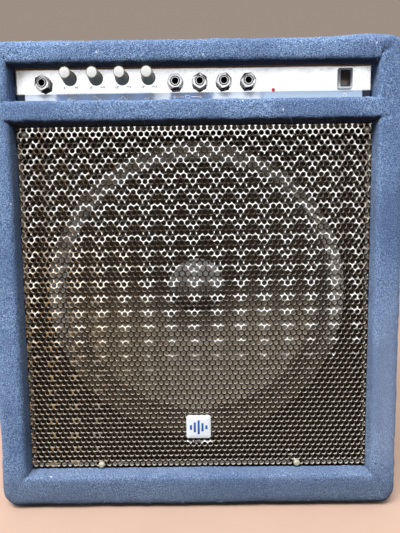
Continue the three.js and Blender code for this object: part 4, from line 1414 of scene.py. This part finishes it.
def ribbon(points, width, mat):
    """A flat printed line through (x, z) points, as a thin closed solid."""
    points = [Vector(p) for p in points]
    n = len(points)
    left, right = [], []
    for i, point in enumerate(points):
        run = points[min(i + 1, n - 1)] - points[max(i - 1, 0)]
        run.normalize()
        side = Vector((-run.y, run.x)) * width / 2
        left.append(point + side)
        right.append(point - side)
    verts = [(p.x, y, p.y) for y in (PRINT_Y, PRINT_Y - 0.05) for p in left + right]
    faces = []
    for i in range(n - 1):
        j = i + 1
        faces += [(i, j, n + j, n + i), (2 * n + i, 3 * n + i, 3 * n + j, 2 * n + j),
                  (i, 2 * n + i, 2 * n + j, j), (n + i, n + j, 3 * n + j, 3 * n + i)]
    faces += [(0, n, 3 * n, 2 * n), (n - 1, 3 * n - 1, 4 * n - 1, 2 * n - 1)]
    # hard edges are marked before the normals are made to agree
    line = from_points("ribbon", verts, faces, mat, 20, fix=False)
    fix_normals(line)
    return line


def make_dial_marks():
    """Ticks and end numbers round each knob."""
    marks = []
    for name, x in KNOB_X.items():
        for k in range(11):
            angle = math.radians(-150 + 30 * k)
            inner, outer = 8.6, 9.7 if k in (0, 5, 10) else 9.3
            sine, cosine = math.sin(angle), math.cos(angle)
            # ticks that would run under the carpet are left out
            if KNOB_Z + cosine * outer <= PANEL_Z1 - 0.6:
                ends = [(x + sine * r, KNOB_Z + cosine * r) for r in (inner, outer)]
                marks.append(ribbon(ends, 0.42, "print_grey"))
        low, high = ("0", "10") if name == "volume" else ("-15", "+15")
        marks.append(text_mesh(low, x - 6.6, KNOB_Z - 8.8))
        marks.append(text_mesh(high, x + 6.2, KNOB_Z - 8.4))
    register(join("panel_dial_marks", marks), "panel_silver")


def make_pictograms():
    """White signs in the navy band, under the controls."""
    base = 445.5
    signs = []

    def draw(x, *strokes, width=0.55):
        """Strokes are lists of (x, z) points about the middle of the sign."""
        for stroke in strokes:
            points = [(x + dx, base + dz) for dx, dz in stroke]
            signs.append(ribbon(points, width, "print_white"))

    def ease(t):
        return 3 * t * t - 2 * t ** 3

    def arc(r, start, end, count, dz=0.0):
        return [(r * math.cos(a), dz + r * math.sin(a)) for a in np.linspace(start, end, count)]

    draw(KNOB_X["volume"], [(-5, -1.4), (5, -1.4), (5, 1.7), (-5, -1.4)], width=0.5)
    draw(KNOB_X["bass"], [(-5, 1.4), (-2, 1.4)]
         + [(-2 + 4 * t, 1.4 - 2.8 * ease(t)) for t in np.linspace(0.1, 1, 8)] + [(5, -1.4)])
    draw(KNOB_X["mid"], [(-5 + 10 * t, -1.3 + 2.8 * bell(t - 0.5, 0.16))
                         for t in np.linspace(0, 1, 22)])
    draw(KNOB_X["treble"], [(-5, -1.4)]
         + [(-2 + 4 * t, -1.4 + 2.8 * ease(t)) for t in np.linspace(0, 1, 8)] + [(5, 1.4)])
    draw(JACK_X["input"], [(-4.5, 0), (2.5, 0)], [(0.6, 1.5), (2.7, 0), (0.6, -1.5)])
    effects_x = (JACK_X["effects_send"] + JACK_X["effects_return"]) / 2
    draw(effects_x, [(-15, 0), (-4, 0)], [(-13, 1.4), (-15.2, 0), (-13, -1.4)],
         [(4, 0), (15, 0)], [(13, 1.4), (15.2, 0), (13, -1.4)])
    draw(effects_x, [(-2.2, -1.4), (2.2, -1.4), (2.2, 1.4), (-2.2, 1.4), (-2.2, -1.4)],
         width=0.45)
    draw(JACK_X["line_out"], [(-3, 0), (3.6, 0)], [(1.8, 1.4), (3.8, 0), (1.8, -1.4)])
    # headphones: a half hoop over two short bars; it is wider than it is high
    hoop = [(3.0 * math.cos(a), -0.6 + 2.4 * math.sin(a)) for a in np.linspace(0.0, math.pi, 12)]
    draw(JACK_X["headphone"], hoop)
    draw(JACK_X["headphone"], [(-3.0, -1.7), (-3.0, 0.2)], [(3.0, -1.7), (3.0, 0.2)], width=1.2)
    top = math.pi / 2
    draw(SWITCH_X, arc(1.9, top + 0.6, top + 2 * math.pi - 0.6, 20), [(0, 0.2), (0, 2.2)],
         width=0.5)
    register(join("panel_pictograms", signs), "panel_silver")


def make_panel():
    make_dial_marks()
    make_pictograms()
    for name, x in KNOB_X.items():
        make_knob(name, x)
    for name, x in JACK_X.items():
        make_jack(name, x)


# ------------------------------------------------------------------ switch and indicator
# The rocker turns about a line along X, PIVOT behind the panel's front.
PIVOT = Matrix.Translation((SWITCH_X * MM, (PANEL_Y + 2.5) * MM, SWITCH_Z * MM))


def switch_rod(name, r, mat, stretch=1.0):
    """A rod along X through the pivot."""
    rod = lathe(name, [(0, -6), (r, -6), (r, 6), (0, 6)], (0, 0), mat, 20)
    rod.data.transform(PIVOT @ Matrix.Rotation(math.pi / 2, 4, "Z")
                       @ Matrix.Scale(stretch, 4, (0, 1, 0)))
    return rod


def switch_spans(half_x, half_z):
    return ((SWITCH_X - half_x, SWITCH_X + half_x), (SWITCH_Z - half_z, SWITCH_Z + half_z))


def make_bezel():
    """The bezel with its body behind the panel, hollowed for the rocker."""
    xs, zs = switch_spans(7.5, 10.5)
    bm = bmesh.new()
    add_box(bm, xs, (PANEL_Y - 2.1, PANEL_Y - 0.3), zs)
    bevel(bm, 1.3, segments=4, edges=edges_along_y(bm))
    front = (PANEL_Y - 2.0) * MM
    rim = [e for e in bm.edges if e.verts[0].co.y < front and e.verts[1].co.y < front]
    bevel(bm, 0.25, segments=3, edges=rim)
    bezel = from_bmesh("bezel", bm, "switch_bezel_grey")
    xs, zs = switch_spans(6.25, 9.25)
    body = box("body", xs, (PANEL_Y - 0.5, PANEL_Y + 20.5), zs, "jack_black", 0.4)
    bezel = combine_solids("bezel", bezel, [body], "UNION")
    xs, zs = switch_spans(5.35, 8.5)
    bm = bmesh.new()
    add_box(bm, xs, (-140.0, PANEL_Y + 12.5), zs)
    bevel(bm, 0.9, segments=3, edges=edges_along_y(bm))
    well = from_bmesh("well", bm, "jack_black")
    pin = switch_rod("pin", 1.5, "jack_black", stretch=1.6)
    bezel = combine_solids("switch_bezel", bezel, [well, pin])
    register(bezel, "switch_bezel", "switch_housing")


def make_terminals():
    terminals = []
    for k in (-1, 0, 1):
        z = SWITCH_Z + k * 5.2
        terminals.append(box("terminal", (SWITCH_X - 2.4, SWITCH_X + 2.4),
                             (PANEL_Y + 20, PANEL_Y + 28), (z - 0.4, z + 0.4),
                             "motor_steel_zinc", 0.15, angle=40))
    register(join("switch_terminals", terminals), "motor_steel")


def make_rocker():
    """A paddle with a slightly domed face and rolled ends, tipped 10 degrees."""
    outline = []                    # z, y about the pivot
    for z in np.linspace(-7.2, 6.5, 29):
        end = abs((z + 0.35) / 6.85)
        y = -4.45 - 0.62 * end ** 1.9
        if end > 0.93:
            y += 0.5 * ((end - 0.93) / 0.07) ** 2
        outline.append((z, y))
    outline += [(6.5, -2.2), (4.0, 3.0), (-4.0, 3.0), (-7.2, -2.2)]
    bm = bmesh.new()
    left, right = ([bm.verts.new((x * MM, y * MM, z * MM)) for z, y in outline]
                   for x in (-4.95, 4.95))
    bm.faces.new(left)
    bm.faces.new(right[::-1])
    for i in range(len(outline)):
        j = (i + 1) % len(outline)
        bm.faces.new((left[j], left[i], right[i], right[j]))
    bmesh.ops.recalc_face_normals(bm, faces=bm.faces)
    cross_edges = [e for e in bm.edges if abs(e.verts[0].co.x - e.verts[1].co.x) < 1e-7
                   and min(v.co.y for v in e.verts) < -4 * MM]
    bevel(bm, 0.45, segments=3, edges=cross_edges, clamp=True)
    bm.transform(PIVOT @ Matrix.Rotation(math.radians(10), 4, "X"))
    paddle = from_bmesh("rocker_paddle", bm, "rocker_brown")
    axle = switch_rod("axle", 1.1, "rocker_brown")
    paddle = combine_solids("rocker_paddle", paddle, [axle], "UNION")
    register(paddle, "rocker_plastic", "power_rocker", body="power_rocker")


def make_led():
    dome = [(1.5 * math.sin(a), PANEL_Y - 0.6 - 1.4 * math.cos(a))
            for a in np.linspace(0.2, math.pi / 2, 7)]
    profile = [(0, PANEL_Y - 2.0)] + dome + [(1.5, PANEL_Y + 5.5), (0, PANEL_Y + 5.5)]
    register(lathe("led_lens", profile, (84.1, 451.5), "led_red", 32, 50), "led_red", "power_led")


# ------------------------------------------------------------------ badge
def make_badge():
    """A white plate with rounded corners and five upright bars."""
    x, z, half_x, half_z, corner_r, steps = 1.0, 86.5, 27.2 / 2, 26.0 / 2, 2.3, 10
    inset_x, inset_z = half_x - corner_r, half_z - corner_r
    outline = []
    for side_x, side_z, start in ((1, 1, 0), (-1, 1, 90), (-1, -1, 180), (1, -1, 270)):
        for k in range(steps + 1):
            a = math.radians(start + 90 * k / steps)
            outline.append((side_x * inset_x + corner_r * math.cos(a),
                            side_z * inset_z + corner_r * math.sin(a)))
    # scale of the outline, distance in front of the sheet
    rings = [(1.0, 0.3), (1.0, 1.4), (0.975, 1.75), (0.93, 1.95), (0.6, 2.08), (0.25, 2.12)]
    verts = [(x + dx * scale, SHEET_Y - lift, z + dz * scale)
             for scale, lift in rings for dx, dz in outline]
    plate = from_points("badge_white", verts, loft_faces(len(rings), len(outline)),
                        "badge_white", 35)
    register(plate, "badge_enamel", "badge_plate")
    bars = []
    y = SHEET_Y - 2.02
    for k, height in enumerate((5.4, 11.2, 15.8, 9.4, 4.4)):
        bar_x = x - 8.6 + 4.3 * k
        bars.append(box("bar", (bar_x - 1.2, bar_x + 1.2), (y - 0.25, y + 0.35),
                        (z - height / 2, z + height / 2), "badge_blue", 0.2, angle=40))
    register(join("badge_bars", bars), "badge_enamel")


# ------------------------------------------------------------------ feet, handle, rear
def make_feet():
    profile = [(0, 0), (11.8, 0), (12.8, 0.25), (14.2, 1.2), (14.9, 2.4), (15, 4.4),
               (14.8, 4.7), (0, 4.7)]                # radius, z
    for i, (side_x, side_y) in enumerate(((-1, -1), (1, -1), (-1, 1), (1, 1)), 1):
        foot = lathe(f"foot_{i}", profile, (side_x * 172, side_y * 108), "foot_rubber", 56, 40,
                     upright=True)
        register(foot, "foot_rubber", f"rubber_foot_{i}")


TOP = SHELL_Z1


def make_grip():
    """Rounded section with ribs, a little thicker in the middle, slotted for the band."""
    stations, around = 61, 28
    verts = []
    for i in range(stations):
        t = i / (stations - 1)
        end = abs(2 * t - 1)
        narrow = max(0, (end - 0.55) / 0.45) ** 2
        half_y = 13.3 - 2.2 * narrow
        half_z = 5.6 - 1.0 * narrow
        if end > 0.93:
            q = (end - 0.93) / 0.07
            half_y -= 2.6 * q * q
            half_z -= 1.7 * q * q
        rib = 0.0
        if 0.12 < t < 0.88:
            rib = 0.45 * max(0.0, math.cos((t - 0.5) * 2 * math.pi * 20)) ** 0.6
        for k in range(around):
            a = 2 * math.pi * k / around
            cosine, sine = math.cos(a), math.sin(a)
            y = math.copysign(abs(cosine) ** 0.55, cosine) * half_y
            z = math.copysign(abs(sine) ** 0.55, sine) * half_z
            if sine < -0.2:
                z += rib
            elif sine > 0.2:
                z -= rib * 0.7
            verts.append((-76 + 152 * t, y, TOP + 7.75 + z))
    grip = from_points("grip_ribbed", verts, loft_faces(stations, around), "grip_rubber", 50)
    slot = box("slot", (-90, 90), (-9.9, 9.9), (TOP + 5.7, TOP + 8.0), "grip_rubber")
    grip = combine_solids("grip_ribbed", grip, [slot])
    shade(grip, 50)
    register(grip, "grip_rubber", "handle_grip", body="handle")


def make_band(side, label):
    """Half of the spring band, flat, from the middle out to the end cover, narrowing at its end.
    """
    steps = 60
    verts = []
    for i in range(steps + 1):
        x = side * 114 * i / steps
        half = 9.4
        if abs(x) > 110:
            half -= (abs(x) - 110) ** 2 * 0.25
        section = ((-half, 6.0), (-half + 0.3, 5.8), (half - 0.3, 5.8), (half, 6.0),
                   (half, 7.4), (half - 0.3, 7.6), (-half + 0.3, 7.6), (-half, 7.4))
        verts += [(x, y, TOP + z) for y, z in section]
    band = from_points(f"band_{label}", verts, loft_faces(steps + 1, 8), "band_black", 40)
    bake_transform(band)
    if side == -1:
        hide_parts("handle_band")


END_HALF_X, END_HALF_Y, END_HEIGHT = 22.0, 17.0, 11.7


def end_height(u, v):
    """Top surface of the end cover over the square -1..1."""
    u, v = abs(u), abs(v)
    fall = max(0.0, 1 - ((u ** 5 + v ** 5) ** 0.2) ** 7)
    inner = max(0.0, 1 - ((u / 0.72) ** 4 + (v / 0.66) ** 4))
    return 1.2 + (END_HEIGHT - 1.2) * (0.82 * fall ** 0.42 + 0.18 * min(1.0, inner * 2.0) * fall)


def make_handle_end(side, label):
    """A domed cover with a slot for the band."""
    columns, rows = 30, 22
    bm = bmesh.new()
    grid = {}
    for i in range(columns + 1):
        for j in range(rows + 1):
            # closer lines near the edges
            u, v = (math.copysign(1 - (1 - abs(q)) ** 1.6, q)
                    for q in (-1 + 2 * i / columns, -1 + 2 * j / rows))
            # round the plan corners
            shrink = 1.0
            far = max(abs(u), abs(v))
            if far > 0:
                shrink = 1 / (abs(u / far) ** 8 + abs(v / far) ** 8) ** (1 / 8)
            grid[i, j] = bm.verts.new(((side * 110.0 + END_HALF_X * u * shrink) * MM,
                                       END_HALF_Y * v * shrink * MM,
                                       (TOP + 0.3 + end_height(u, v)) * MM))
    for i in range(columns):
        for j in range(rows):
            bm.faces.new((grid[i, j], grid[i + 1, j], grid[i + 1, j + 1], grid[i, j + 1]))
    rim = [grid[key] for key in grid_ring(range(columns + 1), range(rows + 1))]
    low = [bm.verts.new((v.co.x, v.co.y, (TOP + 0.3) * MM)) for v in rim]
    for k in range(len(rim)):
        n = (k + 1) % len(rim)
        bm.faces.new((rim[n], rim[k], low[k], low[n]))
    bm.faces.new(low)
    cap = from_bmesh(f"cap_{label}", bm, "cap_black")
    slot = box("slot", sorted((side * 80, side * 122)), (-10.1, 10.1), (TOP + 5.4, TOP + 8.4),
               "cap_black")
    cap = combine_solids(f"handle_end_{label}", cap, [slot])
    shade(cap, 45)
    register(cap, "cap_plastic", f"handle_cap_{label}")


def make_handle_screw(side, label):
    """Cross-recess screw on top of the end cover."""
    x = side * 113
    profile = [(0, TOP + 12.2), (1.6, TOP + 12.1), (3.0, TOP + 11.6), (3.5, TOP + 10.9),
               (3.5, TOP + 9.4), (0, TOP + 9.4)]
    screw = lathe(f"handle_screw_{label}", profile, (x, 0), "nut_nickel", 32, upright=True)
    bm = bmesh.new()
    for angle in (0.5, 0.5 + math.pi / 2):
        spin = Matrix.Rotation(angle, 4, "Z")
        for vert in add_box(bm, (-2.0, 2.0), (-0.42, 0.42), (TOP + 11.0, TOP + 13)):
            vert.co = spin @ vert.co + Vector((x * MM, 0, 0))
    cross = from_bmesh("cross", bm, "nut_nickel")
    screw = combine_solids(f"handle_screw_{label}", screw, [cross])
    register(screw, "zinc_screw")


def make_handle():
    make_grip()
    for side, label in ((-1, "left"), (1, "right")):
        make_band(side, label)
        make_handle_end(side, label)
        make_handle_screw(side, label)


def rear_screws(name, spots, y_seat, radius_, head, mat, turn_step, cups=False):
    """Screws at (x, z) spots that face the rear, in cup washers if asked."""
    cup = [(2.0, 140.5), (5.6, 140.5), (5.2, 141.3), (3.6, 141.9), (2.0, 141.6)]   # radius, y
    items = []
    for k, (x, z) in enumerate(spots):
        if cups:
            items.append(lathe("cup", cup, (x, z), "nut_nickel", 36, 50))
        items.append(pan_screw(f"screw_{k}", x, z, y_seat, radius_, head, 1.0, mat,
                               turn_step * k, facing=1))
    screws = join(name, items)
    shade(screws)
    register(screws, "zinc_screw")


def make_rear():
    board = [(x, z) for x in (-184, 184) for z in (52, 172, 292, 405)]
    board += [(-70, 44), (70, 44), (-70, 410), (70, 410)]
    rear_screws("rear_board_screws", board, y_seat=141.5, radius_=3.4, head=2.0,
                mat="screw_zinc", turn_step=0.4, cups=True)
    rear_screws("chassis_plate_screws", [(x, z) for x in (-184, 184, 0) for z in (440, 476)],
                y_seat=134.3, radius_=3.0, head=1.8, mat="nut_nickel", turn_step=0.7)
    rear_screws("inlet_screws", [(110.5, 458.0), (149.5, 458.0)],
                y_seat=138.6, radius_=2.2, head=1.4, mat="nut_nickel", turn_step=0.9)


# ------------------------------------------------------------------ CAD pieces that stay
CAD_FINISHES = {
    "side_panel_left": "plywood", "side_panel_right": "plywood", "top_panel": "plywood",
    "bottom_panel": "plywood", "shelf_panel": "plywood", "baffle_board": "baffle_stained",
    "back_panel": "rear_board_black", "speaker_basket": "speaker_frame_black",
    "voice_coil": "coil_copper", "top_plate": "motor_steel_zinc",
    "ferrite_magnet": "ferrite_grey", "pole_yoke": "motor_steel_zinc",
    "chassis_tray": "chassis_black", "circuit_board": "board_green",
    "power_transformer": "transformer_tape", "heat_sink": "sink_aluminium",
    "filter_capacitor": "capacitor_sleeve", "volume_pot": "pot_can", "bass_pot": "pot_can",
    "mid_pot": "pot_can", "treble_pot": "pot_can", "mains_inlet": "jack_black",
    "control_panel": "panel_silver_navy",
}
CAD_BEVELLED = ("back_panel", "chassis_tray", "mains_inlet", "circuit_board", "heat_sink")


def finish_cad_pieces():
    for name, mat in CAD_FINISHES.items():
        materials = NODES[name].data.materials
        materials.clear()
        materials.append(MATERIALS[mat])
    for name in CAD_BEVELLED:
        modifier = NODES[name].modifiers.new("edge", "BEVEL")
        modifier.width = 0.0004
        modifier.segments = 2
        modifier.limit_method = "ANGLE"
        modifier.angle_limit = math.radians(50)


# ------------------------------------------------------------------ floor, light, camera
def make_floor():
    """A flat floor, far larger than the amplifier."""
    surface = Surface("floor_pale")
    cloud = noise(surface.point, scale=0.004, detail=4, rough=0.6)
    col = mix(fade(cloud, over=(0.3, 0.7)), (0.475, 0.325, 0.25), (0.51, 0.35, 0.27))
    surface.set(color=col, rough=0.85, spec=0.1)
    bm = bmesh.new()
    corners = ((-40, -40, 0), (40, -40, 0), (40, 40, 0), (-40, 40, 0))
    bm.faces.new([bm.verts.new(corner) for corner in corners])
    floor = from_bmesh("floor", bm, "floor_pale", 60)
    floor.visible_glossy = False
    floor.visible_diffuse = False


def make_world():
    """Separate surroundings for glossy, matt and camera rays."""
    world = bpy.data.worlds.new("studio")
    bpy.context.scene.world = world
    world.use_nodes = True
    tree = world.node_tree
    tree.nodes.clear()
    output = tree.nodes.new("ShaderNodeOutputWorld")
    x, y, z = xyz(vector("NORMALIZE", node("TexCoord", {}, "Generated", tree=tree)))
    elevation = calc("ARCSINE", z) * (180 / math.pi)
    front = fade(y, over=(0.1, -0.35))
    # height and sideways distance on a wall one unit in front
    ahead = calc("MAXIMUM", y * -1.0, 0.001)
    wall_z = z / ahead
    wall_x = abs(x / ahead)
    # a window with rounded corners, low in front
    past_x = calc("MAXIMUM", wall_x - 0.362, 0.0)
    past_z = calc("MAXIMUM", abs(wall_z - 0.187) - 0.118, 0.0)
    window = fade(radius(past_x, past_z), over=(0.046, 0.052), to=(1.0, 0.0)) * front
    above = mix(fade(elevation, over=(20.8, 23.0)), (0.12, 0.085, 0.06), (0.04, 0.028, 0.02))
    above = mix(fade(elevation, over=(40, 80)), above, (0.45, 0.44, 0.43))
    below = mix(fade(elevation, over=(-60, -12)), (0.068, 0.05, 0.038), (0.038, 0.027, 0.018))
    # pale wall beside the window
    beside = fade(wall_x, over=(0.402, 0.412)) * fade(wall_x, over=(0.75, 0.5))
    beside = beside * (fade(wall_z, over=(0.0, 0.06)) * fade(wall_z, over=(0.38, 0.34)))
    above = mix(beside * front, above, (0.70, 0.61, 0.53))
    # lit timber just under the window, stronger on the left
    sill = fade(wall_z, over=(-0.17, -0.11)) * front
    sill = sill * fade(x, over=(-0.05, -0.30), to=(0.06, 1.0))
    below = mix(sill, below, (0.24, 0.13, 0.05))
    glossy = mix(fade(elevation, over=(1.0, 2.5)), below, above)
    glossy = mix(window, glossy, (1.78, 1.81, 1.85))
    # what a matt surface sees: soft light from above
    matt = mix(fade(elevation, over=(0, 62)), (0.085, 0.08, 0.08), (0.95, 0.98, 1.03))
    ray = node("LightPath", {}, tree=tree).socket.node.outputs
    col = mix(Signal(ray["Is Glossy Ray"], tree), matt, glossy)
    col = mix(Signal(ray["Is Camera Ray"], tree), col, (0.40, 0.325, 0.275))
    background = node("Background", {0: col, 1: 0.85})
    tree.links.new(background.socket, output.inputs[0])


def area_light(name, place, size, power, color):
    """A rectangular light aimed at the middle of the cabinet and unseen in reflections."""
    light = bpy.data.lights.new(name, "AREA")
    light.shape = "RECTANGLE"
    light.size, light.size_y = size
    light.energy = power
    light.color = color
    lamp = link_object(name, light)
    lamp.location = place
    aim = Vector((0, 0, 0.25)) - Vector(place)
    lamp.rotation_euler = aim.to_track_quat("-Z", "Y").to_euler()
    lamp.visible_glossy = False


def make_lights():
    area_light("sky_front", place=(-0.5, -1.45, 2.25), size=(1.7, 0.9), power=118,
               color=(0.97, 0.98, 1.0))
    area_light("fill_right", place=(2.3, 0.5, 1.0), size=(1.4, 1.4), power=12,
               color=(1.0, 0.99, 0.97))
    area_light("fill_back", place=(-0.9, 2.3, 1.2), size=(1.4, 1.4), power=12,
               color=(1.0, 0.99, 0.97))
    area_light("fill_left", place=(-2.0, -0.9, 1.0), size=(1.4, 1.4), power=8,
               color=(1.0, 0.98, 0.95))


def make_camera():
    data = bpy.data.cameras.new("camera")
    data.sensor_width = 36.0
    data.lens = 29.110694
    data.clip_start = 0.01
    camera = link_object("camera", data)
    place = (0.0065, -0.5923, 0.3077)
    yaw, pitch_down, roll = 0.219, 5.119, -0.716       # degrees
    camera.matrix_world = (Matrix.Translation(place)
                           @ Matrix.Rotation(math.radians(yaw), 4, "Z")
                           @ Matrix.Rotation(math.radians(90 - pitch_down), 4, "X")
                           @ Matrix.Rotation(math.radians(roll), 4, "Z"))
    bpy.context.scene.camera = camera
    bpy.context.scene.view_settings.view_transform = "Standard"


# ------------------------------------------------------------------ build
build_materials()
finish_cad_pieces()
make_fibres(make_carpet())
make_grille()
make_grille_screws()
make_speaker()
make_panel()
make_bezel()
make_terminals()
make_rocker()
make_led()
make_badge()
make_feet()
make_handle()
make_rear()
make_floor()
make_world()
make_lights()
make_camera()
